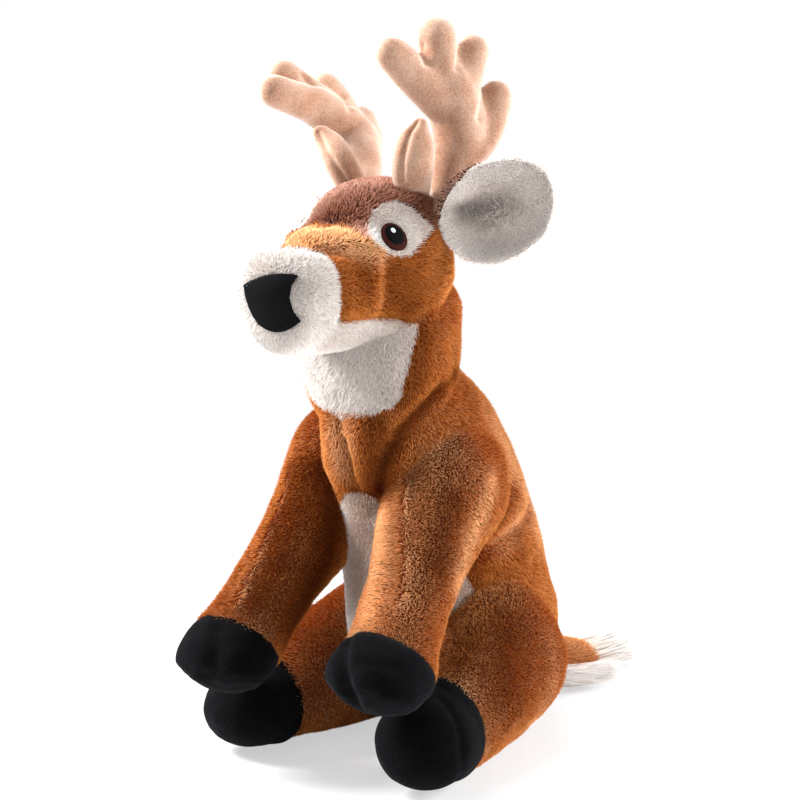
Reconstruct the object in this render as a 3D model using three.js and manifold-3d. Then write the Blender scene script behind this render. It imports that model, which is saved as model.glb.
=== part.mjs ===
import * as THREE from "three";
import { mergeVertices } from "three/addons/utils/BufferGeometryUtils.js";
import Module from "manifold-3d";

// A seated plush deer: sewn plush skins round fibre filling. Millimetres, +Z up, floor at z = 0.
// It faces -Y and its left side is +X. Legs, neck, head, ears, antlers and tail bend at their seams.

const wasm = await Module();
wasm.setup();

// Driving dimensions
const seamGap = 0.3; // between two pieces sewn together
const bendGap = 0.9; // between two pieces that turn on each other
const clothThickness = 3; // plush backing with its pressed pile
const fillingGap = 0.6; // between a skin and the filling in it
const fillingRoom = 13; // how far a filling stays clear of the limbs that turn in it
const floorCut = 0.5; // how deep a soft underside is pressed flat by the floor
const overrun = 300; // how far a cutting solid runs past what it cuts
const degree = Math.PI / 180;

const torso = {
  halfWidth: 54,
  halfDepth: 70,
  rise: 216,
  lean: 80,
  seatRounding: 54,
  bellyHalfWidth: 40,
  bellyTop: 154,
};
const neck = {
  radius: 43,
  baseForward: 73,
  baseHeight: 197,
  ballForward: 78,
  ballHeight: 240,
  nodRange: 9 * degree,
  throatHalfWidth: 33,
};
const head = {
  halfWidth: 41,
  halfHeight: 42,
  back: 40,
  length: 138,
  height: 279,
  muzzleDrop: 20,
  skullRounding: 40,
  muzzleRounding: 15,
  crownRise: 12,
  crownTilt: 4 * degree,
};
const frontLeg = {
  rootRadius: 44,
  forward: 56,
  height: 151,
  halfWidth: 33,
  innerPlane: 20,
  reach: 99,
  toe: 26,
  soleRounding: 19,
  hoofLength: 38,
  swingRange: 30 * degree,
};
const hindLeg = {
  rootRadius: 35,
  forward: 27,
  height: 48.5,
  offset: 44,
  reach: 86,
  spread: 16,
  hoofHeight: 26.9,
  toe: 30,
  toeRise: 7,
  soleRounding: 22,
  hoofLength: 42,
  sewnDepth: 5.5,
  splayRange: 20 * degree,
};
const ear = {
  length: 64,
  halfWidth: 29,
  halfThickness: 5,
  liningMargin: 4,
  cup: 7,
  forward: 75,
  offset: 34,
  sweep: 37 * degree,
  lift: 4 * degree,
  rootRounding: 12,
  tipRounding: 22,
  foldRange: 12 * degree,
};
const antler = {
  forward: 66,
  height: 311,
  offset: 24,
  reach: 84,
  beamRadius: 8,
  palmRadius: 13,
  tineRadius: 10.5,
  browRadius: 8,
  browReach: 31,
  browAhead: 14,
  backTilt: 9 * degree,
  leanRange: 7 * degree,
};
// How the soft toy happens to sit: its chest hangs a little to the right, which sets the right leg
// wider, and its left front leg and left ear are a little higher
const frontLegOffset = { left: 27, right: 41 };
const frontLegSpread = { left: 31, right: 11 };
const frontLegDrop = { left: 80, right: 87 };
const earHeight = { left: 300, right: 286 };
// The left antler stands nearly upright and the right one lolls outward, as soft antlers do
const antlerLean = { left: 1 * degree, right: 43.5 * degree };
const antlerTurn = { left: 27 * degree, right: 5 * degree };
const tail = {
  back: 44,
  height: 28,
  length: 76,
  sideBend: 30,
  drop: 8,
  halfWidth: 15,
  halfHeight: 18,
  rootRounding: 13,
  tipRounding: 26,
  topLength: 34,
  liftRange: 25 * degree,
};
const eye = {
  ahead: 67,
  rise: 12,
  turn: 52 * degree,
  lift: 8 * degree,
  radius: 8.4,
  pupilRadius: 5.8,
  glintRadius: 1.4,
  thread: 1.8,
  setIn: 1.1,
  reach: 8,
  patchBack: 21,
  patchFront: 15,
  patchRise: 16,
  patchFall: 13,
};
const nose = { halfWidth: 17, rise: 14, fall: 16, drop: 17 };

// Turns a three.js geometry into a solid for cutting and joining
function solidOf(geometry) {
  const bare = new THREE.BufferGeometry();
  const plain = geometry.index ? geometry.toNonIndexed() : geometry;
  bare.setAttribute("position", plain.getAttribute("position"));
  const merged = mergeVertices(bare, 1e-4);
  return new wasm.Manifold(
    new wasm.Mesh({
      numProp: 3,
      vertProperties: new Float32Array(merged.attributes.position.array),
      triVerts: new Uint32Array(merged.index.array),
    }),
  );
}

// Turns a cut solid back into a geometry
function geometryOf(solid) {
  const cut = solid.getMesh();
  const geometry = new THREE.BufferGeometry();
  geometry.setAttribute("position", new THREE.BufferAttribute(new Float32Array(cut.vertProperties), 3));
  geometry.setIndex(new THREE.BufferAttribute(new Uint32Array(cut.triVerts), 1));
  return geometry;
}

const joined = (solids) => solids.reduce((whole, solid) => whole.add(solid));
const vector = (x, y, z) => new THREE.Vector3(x, y, z);
const pathThrough = (...points) => new THREE.CatmullRomCurve3(points);

// A turn about a line through a point
function turnAbout(point, axis, angle) {
  const turn = new THREE.Matrix4().makeTranslation(point);
  turn.multiply(new THREE.Matrix4().makeRotationAxis(axis, angle));
  return turn.multiply(new THREE.Matrix4().makeTranslation(point.clone().negate()));
}

// Everything beyond a plane, on the side that its normal points to
function beyond(point, normal) {
  const block = new THREE.BoxGeometry(overrun, overrun, overrun).translate(0, 0, overrun / 2);
  block.applyQuaternion(new THREE.Quaternion().setFromUnitVectors(vector(0, 0, 1), normal));
  return solidOf(block.translate(...point.toArray()));
}

// A flat outline pushed through what it cuts, facing along its normal with z upright
function prism(outline, point, normal, depth) {
  const along = normal.clone().normalize();
  const right = vector(0, 0, 1).cross(along).normalize();
  const geometry = new THREE.ExtrudeGeometry(outline, { depth, bevelEnabled: false, curveSegments: 5 });
  geometry.applyMatrix4(new THREE.Matrix4().makeBasis(right, along.clone().cross(right), along));
  return solidOf(geometry.translate(...point.toArray()));
}

// A row of shares read between its rows by a smooth cubic
function between(rows, along) {
  let n = 0;
  while (n < rows.length - 2 && along > rows[n + 1][0]) n += 1;
  const slope = (i, k) => {
    const low = rows[Math.max(i - 1, 0)];
    const high = rows[Math.min(i + 1, rows.length - 1)];
    return (high[k] - low[k]) / (high[0] - low[0]);
  };
  const span = rows[n + 1][0] - rows[n][0];
  const t = THREE.MathUtils.clamp((along - rows[n][0]) / span, 0, 1);
  return rows[n].slice(1).map((value, i) => {
    const k = i + 1;
    const eased = t * t * (3 - 2 * t);
    const leave = (t * t * t - 2 * t * t + t) * span * slope(n, k);
    const arrive = (t * t * t - t * t) * span * slope(n + 1, k);
    return value * (1 - eased) + rows[n + 1][k] * eased + leave + arrive;
  });
}

// A stuffed form that swells and tapers along a path. Its rows of shares give how wide and how high
// it is there, and its ends round off over the lengths given. Inset pulls the surface in, and past
// an end that is left open.
function stuffedForm(form, inset = 0, place = null) {
  const length = form.path.getLength();
  const start = form.startRounding ? inset : -inset;
  const end = form.endRounding ? length - inset : length + inset;
  const rounding = (depth, extent) => {
    if (!extent) return 1;
    const t = THREE.MathUtils.clamp((depth - inset) / (extent - inset), 0, 1);
    return Math.sqrt(Math.max(1 - (1 - t) * (1 - t), 0));
  };
  const stations = [];
  for (let i = 0; i <= form.rings; i += 1) {
    const at = start + ((end - start) * (1 - Math.cos((Math.PI * i) / form.rings))) / 2;
    const along = THREE.MathUtils.clamp(at / length, 0, 1);
    const forward = form.path.getTangentAt(along);
    const centre = form.path.getPointAt(along).addScaledVector(forward, at - along * length);
    const across = form.across.clone().addScaledVector(forward, -forward.dot(form.across)).normalize();
    const up = forward.clone().cross(across);
    const [widthShare, riseShare] = between(form.shares, along);
    const scale = rounding(at, form.startRounding) * rounding(length - at, form.endRounding);
    const halfWidth = (form.halfWidth * widthShare - inset) * scale;
    const halfRise = (form.halfRise * riseShare - inset) * scale;
    const ring = [];
    for (let j = 0; j < form.sides; j += 1) {
      const turn = (2 * Math.PI * (j + 1 / 2)) / form.sides;
      const point = centre.clone().addScaledVector(across, halfWidth * Math.cos(turn));
      ring.push(point.addScaledVector(up, halfRise * Math.sin(turn)));
    }
    stations.push({ centre, ring });
  }
  const corners = [];
  const triangle = (a, b, c) => corners.push(...a.toArray(), ...b.toArray(), ...c.toArray());
  const first = stations[0];
  const last = stations[form.rings];
  const openAt = ({ centre, ring }) => ring[0].distanceTo(centre) > seamGap;
  for (let j = 0; j < form.sides; j += 1) {
    const k = (j + 1) % form.sides;
    if (openAt(first)) triangle(first.centre, first.ring[k], first.ring[j]);
    if (openAt(last)) triangle(last.centre, last.ring[j], last.ring[k]);
    for (let i = 0; i < form.rings; i += 1) {
      const here = stations[i].ring;
      const next = stations[i + 1].ring;
      if (here[j].distanceTo(here[k]) > 0) triangle(here[j], here[k], next[k]);
      if (next[j].distanceTo(next[k]) > 0) triangle(here[j], next[k], next[j]);
    }
  }
  const geometry = new THREE.BufferGeometry();
  geometry.setAttribute("position", new THREE.Float32BufferAttribute(corners, 3));
  return solidOf(place ? geometry.applyMatrix4(place) : geometry);
}

// The room a form needs as it turns through some angles about a line
const roomFor = (form, point, axis, angles, gap = bendGap) =>
  joined(angles.map((angle) => stuffedForm(form, -gap, turnAbout(point, axis, angle))));

// The hollow of a stuffed skin and the filling in it, with fewer sides because nobody sees them
const plainer = (form) => ({ ...form, sides: form.sides / 2, rings: Math.ceil(form.rings / 2) });
const hollowOf = (form) => stuffedForm(plainer(form), clothThickness);
const fillingOf = (form) => stuffedForm(plainer(form), clothThickness + fillingGap);

const lateral = vector(1, 0, 0);
const upright = vector(0, 0, 1);
const floor = beyond(vector(0, 0, 0), upright.clone().negate());

// The parts of the deer, gathered as they are made
const deer = new THREE.Group();
function place(name, solid, colour, roughness) {
  const material = new THREE.MeshStandardMaterial({ color: colour, roughness, metalness: 0 });
  const mesh = new THREE.Mesh(geometryOf(solid), material);
  mesh.name = name;
  deer.add(mesh);
}
const plushBrown = 0xb5692b;
const crownBrown = 0x6b4636;
const plushWhite = 0xefeae6;
const fibreWhite = 0xf6f4f0;
const hoofBlack = 0x131316;
const antlerBeige = 0xe8c6ac;

// Torso: a pear that leans forward from its seat to the neck
const torsoPathShares = [
  [0, 0],
  [0.23, 0.14],
  [0.44, 0.25],
  [0.7, 0.52],
  [0.88, 0.82],
  [1, 1],
];
const torsoForm = {
  path: pathThrough(
    ...torsoPathShares.map(([rise, lean]) =>
      vector(0, -torso.lean * lean, torso.rise * rise - floorCut * (1 - rise)),
    ),
  ),
  across: lateral,
  halfWidth: torso.halfWidth,
  halfRise: torso.halfDepth,
  shares: [
    [0, 0.94, 0.9],
    [0.12, 1, 0.96],
    [0.22, 1.02, 1],
    [0.4, 0.97, 0.97],
    [0.55, 0.94, 0.91],
    [0.68, 0.9, 0.84],
    [0.8, 0.88, 0.74],
    [1, 0.66, 0.5],
  ],
  startRounding: torso.seatRounding,
  endRounding: 0,
  sides: 18,
  rings: 10,
};

// Neck: a short column with a domed top that the head nods on
const neckBase = vector(0, -neck.baseForward, neck.baseHeight);
const neckBall = vector(0, -neck.ballForward, neck.ballHeight);
const neckAxis = neckBall.clone().sub(neckBase).normalize();
const neckForm = {
  path: pathThrough(
    neckBase.clone().addScaledVector(neckAxis, seamGap),
    neckBase.clone().lerp(neckBall, 1 / 2),
    neckBall.clone().addScaledVector(neckAxis, neck.radius),
  ),
  across: lateral,
  halfWidth: neck.radius,
  halfRise: neck.radius,
  shares: [
    [0, 0.95, 0.95],
    [0.25, 0.97, 0.97],
    [0.5, 1, 1],
    [1, 1, 1],
  ],
  startRounding: 0,
  endRounding: neck.radius,
  sides: 16,
  rings: 6,
};

// Front legs: a round shoulder flat against the chest, then a taper down to the hoof
function frontLegForm(side, name) {
  const root = vector(side * frontLegOffset[name], -frontLeg.forward, frontLeg.height);
  const aim = vector(0, -frontLeg.reach, -frontLegDrop[name]).normalize();
  const hoof = root.clone().add(
    vector(side * frontLegSpread[name], -frontLeg.reach, -frontLegDrop[name]),
  );
  return {
    root,
    aim,
    path: pathThrough(
      root.clone().addScaledVector(aim, -frontLeg.rootRadius),
      root,
      root.clone().lerp(hoof, 1 / 2),
      hoof,
      hoof.clone().addScaledVector(aim, frontLeg.toe),
    ),
    across: lateral,
    halfWidth: frontLeg.halfWidth,
    halfRise: frontLeg.rootRadius,
    shares: [
      [0, 0.86, 1],
      [0.21, 1, 1],
      [0.4, 0.92, 0.74],
      [0.6, 0.82, 0.58],
      [0.76, 0.78, 0.54],
      [0.86, 0.92, 0.6],
      [1, 0.92, 0.57],
    ],
    startRounding: frontLeg.rootRadius,
    endRounding: frontLeg.soleRounding,
    sides: 14,
    rings: 9,
  };
}

// Hind legs: a ball of a thigh beside the seat, then a short leg lying forward on the floor
function hindLegForm(side) {
  const root = vector(side * hindLeg.offset, -hindLeg.forward, hindLeg.height);
  const hoof = vector(root.x + side * hindLeg.spread, root.y - hindLeg.reach, hindLeg.hoofHeight);
  const kneeHeight = hindLeg.height * (1 - hindLeg.rootRadius / hindLeg.reach / 2);
  const knee = root.clone().lerp(hoof, 1 / 2).setZ(kneeHeight);
  const aim = vector(side * hindLeg.spread, -hindLeg.reach, 0).normalize();
  return {
    root,
    aim,
    path: pathThrough(
      root.clone().add(vector(0, hindLeg.rootRadius, 0)),
      root,
      knee,
      hoof,
      hoof.clone().addScaledVector(aim, hindLeg.toe).addScaledVector(upright, hindLeg.toeRise),
    ),
    across: lateral,
    halfWidth: hindLeg.rootRadius,
    halfRise: hindLeg.height + floorCut,
    shares: [
      [0, 1, 1],
      [0.24, 1, 1],
      [0.45, 0.96, 0.86],
      [0.62, 0.86, 0.7],
      [0.74, 0.76, 0.56],
      [0.84, 0.82, 0.555],
      [1, 0.82, 0.555],
    ],
    startRounding: hindLeg.rootRadius,
    endRounding: hindLeg.soleRounding,
    sides: 14,
    rings: 9,
  };
}

// Tail: a short stub behind the seat, bent a little to the left
const tailRoot = vector(0, tail.back, tail.height);
const tailForm = {
  path: pathThrough(
    tailRoot.clone().add(vector(0, -tail.rootRounding, 0)),
    tailRoot,
    tailRoot.clone().add(vector(tail.sideBend / 3, tail.length / 2, -tail.drop)),
    tailRoot.clone().add(vector(tail.sideBend, tail.length, -tail.drop)),
  ),
  across: lateral,
  halfWidth: tail.halfWidth,
  halfRise: tail.halfHeight,
  shares: [
    [0, 0.8, 0.72],
    [0.2, 0.8, 0.72],
    [0.6, 1, 1],
    [1, 0.7, 0.7],
  ],
  startRounding: tail.rootRounding,
  endRounding: tail.tipRounding,
  sides: 12,
  rings: 8,
};

// Head: a round skull that narrows to a blunt muzzle
const headPathShares = [
  [0, 0.02],
  [0.16, 0.04],
  [0.34, -0.05],
  [0.52, -0.75],
  [0.7, -1.05],
  [1, -1],
];
const headForm = {
  path: pathThrough(
    ...headPathShares.map(([along, drop]) =>
      vector(0, -head.back - head.length * along, head.height + head.muzzleDrop * drop),
    ),
  ),
  across: lateral,
  halfWidth: head.halfWidth,
  halfRise: head.halfHeight,
  shares: [
    [0, 0.94, 0.94],
    [0.18, 0.98, 0.98],
    [0.34, 1, 1.02],
    [0.48, 0.9, 0.92],
    [0.6, 0.74, 0.76],
    [0.76, 0.66, 0.65],
    [0.9, 0.65, 0.62],
    [1, 0.6, 0.58],
  ],
  startRounding: head.skullRounding,
  endRounding: head.muzzleRounding,
  sides: 18,
  rings: 12,
};

// Ears: a cupped plush disc on each side, swept back, with a white lining in front
function earForm(side, name) {
  const root = vector(side * ear.offset, -ear.forward, earHeight[name]);
  const aim = vector(side * Math.cos(ear.sweep), Math.sin(ear.sweep), Math.tan(ear.lift)).normalize();
  const front = upright.clone().cross(aim).multiplyScalar(side).negate();
  const end = root.clone().addScaledVector(aim, ear.length);
  const middle = root.clone().lerp(end, 1 / 2).addScaledVector(front, -ear.cup);
  return {
    root,
    front,
    path: pathThrough(root, middle, end),
    across: upright,
    halfWidth: ear.halfWidth,
    halfRise: ear.halfThickness,
    shares: [
      [0, 0.6, 1],
      [0.25, 0.84, 1],
      [0.6, 1, 0.9],
      [1, 0.86, 0.7],
    ],
    startRounding: ear.rootRounding,
    endRounding: ear.tipRounding,
    sides: 12,
    rings: 8,
  };
}
function earLiningForm(side, name) {
  const back = earForm(side, name);
  const shift = back.front.clone().multiplyScalar(ear.halfThickness);
  const points = back.path.points.map((point) => point.clone().add(shift));
  const tip = points[2].clone().sub(points[0]).normalize();
  points[0].addScaledVector(tip, ear.rootRounding);
  points[2].addScaledVector(tip, -ear.liningMargin);
  return { ...back, path: pathThrough(...points), halfWidth: ear.halfWidth - ear.liningMargin };
}

// Antlers: a beam that spreads to a palm with four stuffed tines, and a brow tine sewn on in front.
// Places are shares of the reach: how far ahead along the head, and how far up the beam.
const antlerLimbShares = [
  { from: [0, -0.05], to: [0, 0.36], start: "beamRadius", end: "palmRadius" },
  { from: [0, 0.36], to: [0.03, 0.62], start: "palmRadius", end: "palmRadius" },
  { from: [0.06, 0.6], to: [0.38, 0.87], start: "palmRadius", end: "tineRadius" },
  { from: [0.02, 0.6], to: [0.035, 1], start: "tineRadius", end: "tineRadius" },
  { from: [-0.05, 0.56], to: [-0.23, 0.88], start: "tineRadius", end: "tineRadius" },
  { from: [-0.02, 0.3], to: [-0.26, 0.38], start: "palmRadius", end: "tineRadius" },
  { from: [-0.26, 0.38], to: [-0.37, 0.58], start: "tineRadius", end: "tineRadius" },
];
function antlerFrame(side, name) {
  const root = vector(side * antler.offset, -antler.forward, antler.height);
  const turn = new THREE.Matrix4().makeRotationY(side * antlerLean[name]);
  turn.multiply(new THREE.Matrix4().makeRotationX(-antler.backTilt));
  turn.multiply(new THREE.Matrix4().makeRotationZ(-side * antlerTurn[name]));
  const at = ([ahead, up]) =>
    vector(0, -ahead * antler.reach, up * antler.reach).applyMatrix4(turn).add(root);
  return { root, at, across: lateral.clone().applyMatrix4(turn) };
}
function antlerLimb(frame, from, to, startRadius, endRadius) {
  const start = frame.at(from);
  const end = frame.at(to);
  const aim = end.clone().sub(start).normalize();
  const length = start.distanceTo(end) + startRadius + endRadius;
  return {
    path: new THREE.LineCurve3(
      start.clone().addScaledVector(aim, -startRadius),
      end.clone().addScaledVector(aim, endRadius),
    ),
    across: frame.across,
    halfWidth: endRadius,
    halfRise: endRadius,
    shares: [
      [0, startRadius / endRadius, startRadius / endRadius],
      [startRadius / length, startRadius / endRadius, startRadius / endRadius],
      [1 - endRadius / length, 1, 1],
      [1, 1, 1],
    ],
    startRounding: startRadius,
    endRounding: endRadius,
    sides: 8,
    rings: 6,
  };
}
const antlerLimbs = (frame) =>
  antlerLimbShares.map(({ from, to, start, end }) => antlerLimb(frame, from, to, antler[start], antler[end]));
function browTine(frame) {
  const ahead = antler.browAhead / antler.reach;
  const tip = [ahead * 0.8, (antler.browReach - antler.browRadius) / antler.reach];
  return antlerLimb(frame, [ahead, 0], tip, antler.browRadius, antler.browRadius);
}

const sides = [
  { side: 1, name: "left" },
  { side: -1, name: "right" },
];
const bothWays = (range, shares) => shares.map((share) => share * range);

// Room that the torso leaves for its limbs
function torsoRoom(shaped, gap) {
  const rooms = [roomFor(shaped(tailForm), tailRoot, lateral, [0, tail.liftRange], gap)];
  for (const { side, name } of sides) {
    const leg = frontLegForm(side, name);
    const inner = leg.root.clone().setX(side * (frontLeg.innerPlane - gap));
    const raised = [0, 1 / 4, 1 / 2, 3 / 4, 1].map((share) => -share * frontLeg.swingRange);
    const swing = roomFor(shaped(leg), leg.root, lateral, raised, gap);
    rooms.push(swing.subtract(beyond(inner, vector(-side, 0, 0))));
    const thigh = hindLegForm(side);
    const splayed = [0, 1 / 2, 1].map((share) => side * share * hindLeg.splayRange);
    rooms.push(roomFor(shaped(thigh), thigh.root, upright, splayed, gap));
  }
  return joined(rooms);
}
const asMade = (form) => form;
const aboveTorso = beyond(neckBase, neckAxis);
const torsoSkin = stuffedForm(torsoForm)
  .subtract(hollowOf(torsoForm))
  .subtract(aboveTorso)
  .subtract(floor)
  .subtract(torsoRoom(asMade, bendGap));
const torsoFilling = fillingOf(torsoForm)
  .subtract(beyond(neckBase.clone().addScaledVector(neckAxis, -fillingRoom), neckAxis))
  .subtract(torsoRoom(plainer, fillingRoom));

// Belly panel: white plush let into the brown skin, from the chest down between the legs
function bellyPrism(margin) {
  const half = torso.bellyHalfWidth + margin;
  const top = torso.bellyTop + margin;
  const outline = new THREE.Shape();
  outline.moveTo(-half, 0);
  outline.lineTo(half, 0);
  outline.lineTo(half, top / 2);
  outline.quadraticCurveTo(half, top * 0.8, half / 3, top);
  outline.lineTo(-half / 3, top);
  outline.quadraticCurveTo(-half, top * 0.8, -half, top / 2);
  const start = vector(0, -torso.lean / 2, 0);
  return prism(outline, start, vector(0, -1, 0), overrun);
}
place("torso_skin", torsoSkin.subtract(bellyPrism(seamGap)), plushBrown, 0.95);
place("belly_panel", torsoSkin.intersect(bellyPrism(0)), plushWhite, 0.95);
place("torso_filling", torsoFilling, fibreWhite, 1);

// Neck skin with a white throat let in
function throatPrism(margin) {
  const half = neck.throatHalfWidth + margin;
  const outline = new THREE.Shape();
  outline.moveTo(-half, 0);
  outline.lineTo(half, 0);
  outline.lineTo(half, overrun);
  outline.lineTo(-half, overrun);
  const start = vector(0, -neck.baseForward - clothThickness + margin, 0);
  return prism(outline, start, vector(0, -1, 0), overrun);
}
const neckSkin = stuffedForm(neckForm).subtract(hollowOf(neckForm));
place("neck_skin", neckSkin.subtract(throatPrism(seamGap)), plushBrown, 0.95);
place("throat_panel", neckSkin.intersect(throatPrism(0)), plushWhite, 0.95);
const belowNeck = beyond(neckBase.clone().addScaledVector(neckAxis, seamGap), neckAxis.clone().negate());
place("neck_filling", fillingOf(neckForm).subtract(belowNeck), fibreWhite, 1);

// Legs: a skin open where it is sewn to the torso, a black hoof at its end and one filling
for (const { side, name } of sides) {
  const front = frontLegForm(side, name);
  const hind = hindLegForm(side);
  const sewnPlane = hind.root.clone().add(vector(-side * (hindLeg.rootRadius - hindLeg.sewnDepth), 0, 0));
  const legs = [
    {
      kind: "front",
      form: front,
      sizes: frontLeg,
      cut: beyond(front.root.clone().setX(side * frontLeg.innerPlane), vector(-side, 0, 0)),
    },
    {
      kind: "hind",
      form: hind,
      sizes: hindLeg,
      cut: beyond(sewnPlane, vector(-side, 0, 0)).add(floor),
    },
  ];
  for (const { kind, form, sizes, cut } of legs) {
    const skin = stuffedForm(form).subtract(hollowOf(form)).subtract(cut);
    const seam = form.path.getPointAt(1 - sizes.hoofLength / form.path.getLength());
    const hoofSide = beyond(seam.clone().addScaledVector(form.aim, seamGap), form.aim);
    place(`${kind}_leg_${name}`, skin.subtract(beyond(seam, form.aim)), plushBrown, 0.95);
    place(`${kind}_hoof_${name}`, skin.intersect(hoofSide), hoofBlack, 0.9);
    place(`${kind}_leg_filling_${name}`, fillingOf(form).subtract(cut), fibreWhite, 1);
  }
}

// Tail: brown plush above, long white plush below
function tailTopRoom(margin) {
  const above = beyond(tailRoot.clone().add(vector(0, 0, -tail.drop - margin)), upright);
  return above.subtract(beyond(tailRoot.clone().add(vector(0, tail.topLength + margin, 0)), vector(0, 1, 0)));
}
const tailBody = stuffedForm(tailForm);
place("tail_top", tailBody.intersect(tailTopRoom(0)), plushBrown, 0.95);
place("tail_underside", tailBody.subtract(tailTopRoom(seamGap)), plushWhite, 1);

// Head: one stuffed skin of several panels, with sewn eyes and a nose, and rooms for what it carries
function headRoom(shaped, gap, nodShares, rangeShares) {
  const nods = bothWays(neck.nodRange, nodShares);
  const rooms = [roomFor(shaped(neckForm), neckBall, lateral, nods, gap)];
  for (const { side, name } of sides) {
    const outer = earForm(side, name);
    rooms.push(roomFor(shaped(outer), outer.root, upright, bothWays(ear.foldRange, rangeShares), gap));
    const frame = antlerFrame(side, name);
    for (const limb of [antlerLimbs(frame)[0], browTine(frame)]) {
      const leans = bothWays(antler.leanRange, rangeShares);
      rooms.push(roomFor(shaped(limb), frame.root, vector(0, 1, 0), leans, gap));
    }
  }
  return joined(rooms);
}
const headSkin = stuffedForm(headForm)
  .subtract(hollowOf(headForm))
  .subtract(headRoom(asMade, bendGap, [-1, -1 / 2, 0, 1 / 2, 1], [-1, 1]));
const headFilling = fillingOf(headForm).subtract(headRoom(plainer, fillingRoom, [0], [0]));
place("head_filling", headFilling, fibreWhite, 1);

// Where a line from the middle of the head comes out of its skin
const headShape = new THREE.Mesh(geometryOf(stuffedForm(headForm)));
function onHead(from, aim) {
  const start = from.clone().addScaledVector(aim, overrun);
  return new THREE.Raycaster(start, aim.clone().negate()).intersectObject(headShape)[0].point;
}

// Side outlines of the muzzle, in shares of the head's length and half height
const muzzleShares = [
  [0.755, 0.6],
  [0.83, 0],
  [0.835, -0.5],
  [0.79, -0.77],
  [0.6, -0.83],
  [0.38, -0.97],
  [0.38, -1.5],
  [1.2, -1.5],
  [1.2, 0.6],
];
function muzzlePrism(margin) {
  const points = muzzleShares.map(([along, rise]) => {
    const ahead = head.back + head.length * along - margin;
    return new THREE.Vector2(ahead, head.height + head.halfHeight * rise);
  });
  const start = vector(overrun / 2, 0, margin);
  return prism(new THREE.Shape(points), start, vector(-1, 0, 0), overrun);
}

// Eyes: embroidered into a white plush patch on each side
function eyeOf(side) {
  const bearing = vector(side * Math.sin(eye.turn), -Math.cos(eye.turn), 0);
  const middle = vector(0, -head.back - eye.ahead + eye.radius * 2, head.height + eye.rise);
  const aim = bearing.clone().addScaledVector(upright, Math.sin(eye.lift)).normalize();
  const centre = onHead(middle, bearing);
  const patch = (margin) => {
    const back = side * (eye.patchBack + margin);
    const front = -side * (eye.patchFront + margin);
    const rise = eye.patchRise + margin;
    const fall = -eye.patchFall - margin;
    const outline = new THREE.Shape();
    outline.moveTo(front, 0);
    outline.quadraticCurveTo(front * 0.9, rise, 0, rise);
    outline.quadraticCurveTo(back * 0.6, rise * 0.9, back, 0);
    outline.quadraticCurveTo(back * 0.7, fall * 0.6, back * 0.4, fall);
    outline.quadraticCurveTo(front * 0.8, fall, front, 0);
    return prism(outline, centre.clone().addScaledVector(aim, -eye.reach), aim, eye.reach * 2);
  };
  const disc = (radius, hole, shift, depth) => {
    const outline = new THREE.Shape();
    outline.absarc(shift[0] * side, shift[1], radius, 0, 2 * Math.PI);
    if (hole) {
      const [across, up, inner] = hole;
      outline.holes.push(new THREE.Path().absarc(across * side, up, inner, 0, 2 * Math.PI));
    }
    return prism(outline, centre.clone().addScaledVector(aim, -eye.setIn), aim, depth);
  };
  return { patch, disc };
}
const eyes = sides.map(({ side }) => eyeOf(side));
const patches = joined(eyes.map((one) => one.patch(seamGap)));
function aboveCrown(margin) {
  const up = vector(0, -Math.sin(head.crownTilt), Math.cos(head.crownTilt));
  return beyond(vector(0, -head.back - eye.ahead, head.height + head.crownRise + margin), up);
}
const noseAim = vector(0, -1, 0);
function nosePrism(margin) {
  const half = nose.halfWidth + margin;
  const rise = nose.rise + margin;
  const fall = -nose.fall - margin;
  const outline = new THREE.Shape();
  outline.moveTo(-half, rise * 0.8);
  outline.quadraticCurveTo(0, rise * 1.2, half, rise * 0.8);
  outline.quadraticCurveTo(half * 0.5, 0, half * 0.75, fall * 0.7);
  outline.quadraticCurveTo(0, fall * 1.3, -half * 0.75, fall * 0.7);
  outline.quadraticCurveTo(-half * 0.5, 0, -half, rise * 0.8);
  const start = vector(0, -head.back - head.length + head.muzzleRounding, head.height - nose.drop);
  return prism(outline, start, noseAim, overrun);
}
place("muzzle_panel", headSkin.intersect(muzzlePrism(0)).subtract(nosePrism(seamGap)), plushWhite, 0.95);
place("nose", headSkin.intersect(nosePrism(0)), hoofBlack, 0.85);
const behindMuzzle = headSkin.subtract(muzzlePrism(seamGap)).subtract(patches);
place("face_panel", behindMuzzle.subtract(aboveCrown(-seamGap)), plushBrown, 0.95);
place("crown_panel", behindMuzzle.intersect(aboveCrown(0)), crownBrown, 0.95);
sides.forEach(({ name }, i) => {
  const { patch, disc } = eyes[i];
  const glint = [-eye.pupilRadius * 0.3, eye.pupilRadius * 0.35];
  const pocket = disc(eye.radius + seamGap, null, [0, 0], eye.reach);
  const cloth = headSkin.intersect(patch(0)).subtract(muzzlePrism(seamGap)).subtract(pocket);
  place(`eye_patch_${name}`, cloth, plushWhite, 0.95);
  const ring = disc(eye.radius, [0, 0, eye.pupilRadius + seamGap], [0, 0], eye.thread);
  place(`eye_iris_${name}`, ring, 0x3b2218, 0.6);
  const pupil = disc(eye.pupilRadius, [...glint, eye.glintRadius + seamGap], [0, 0], eye.thread);
  place(`eye_pupil_${name}`, pupil, 0x060606, 0.5);
  place(`eye_glint_${name}`, disc(eye.glintRadius, null, glint, eye.thread), 0xffffff, 0.5);
});

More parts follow.
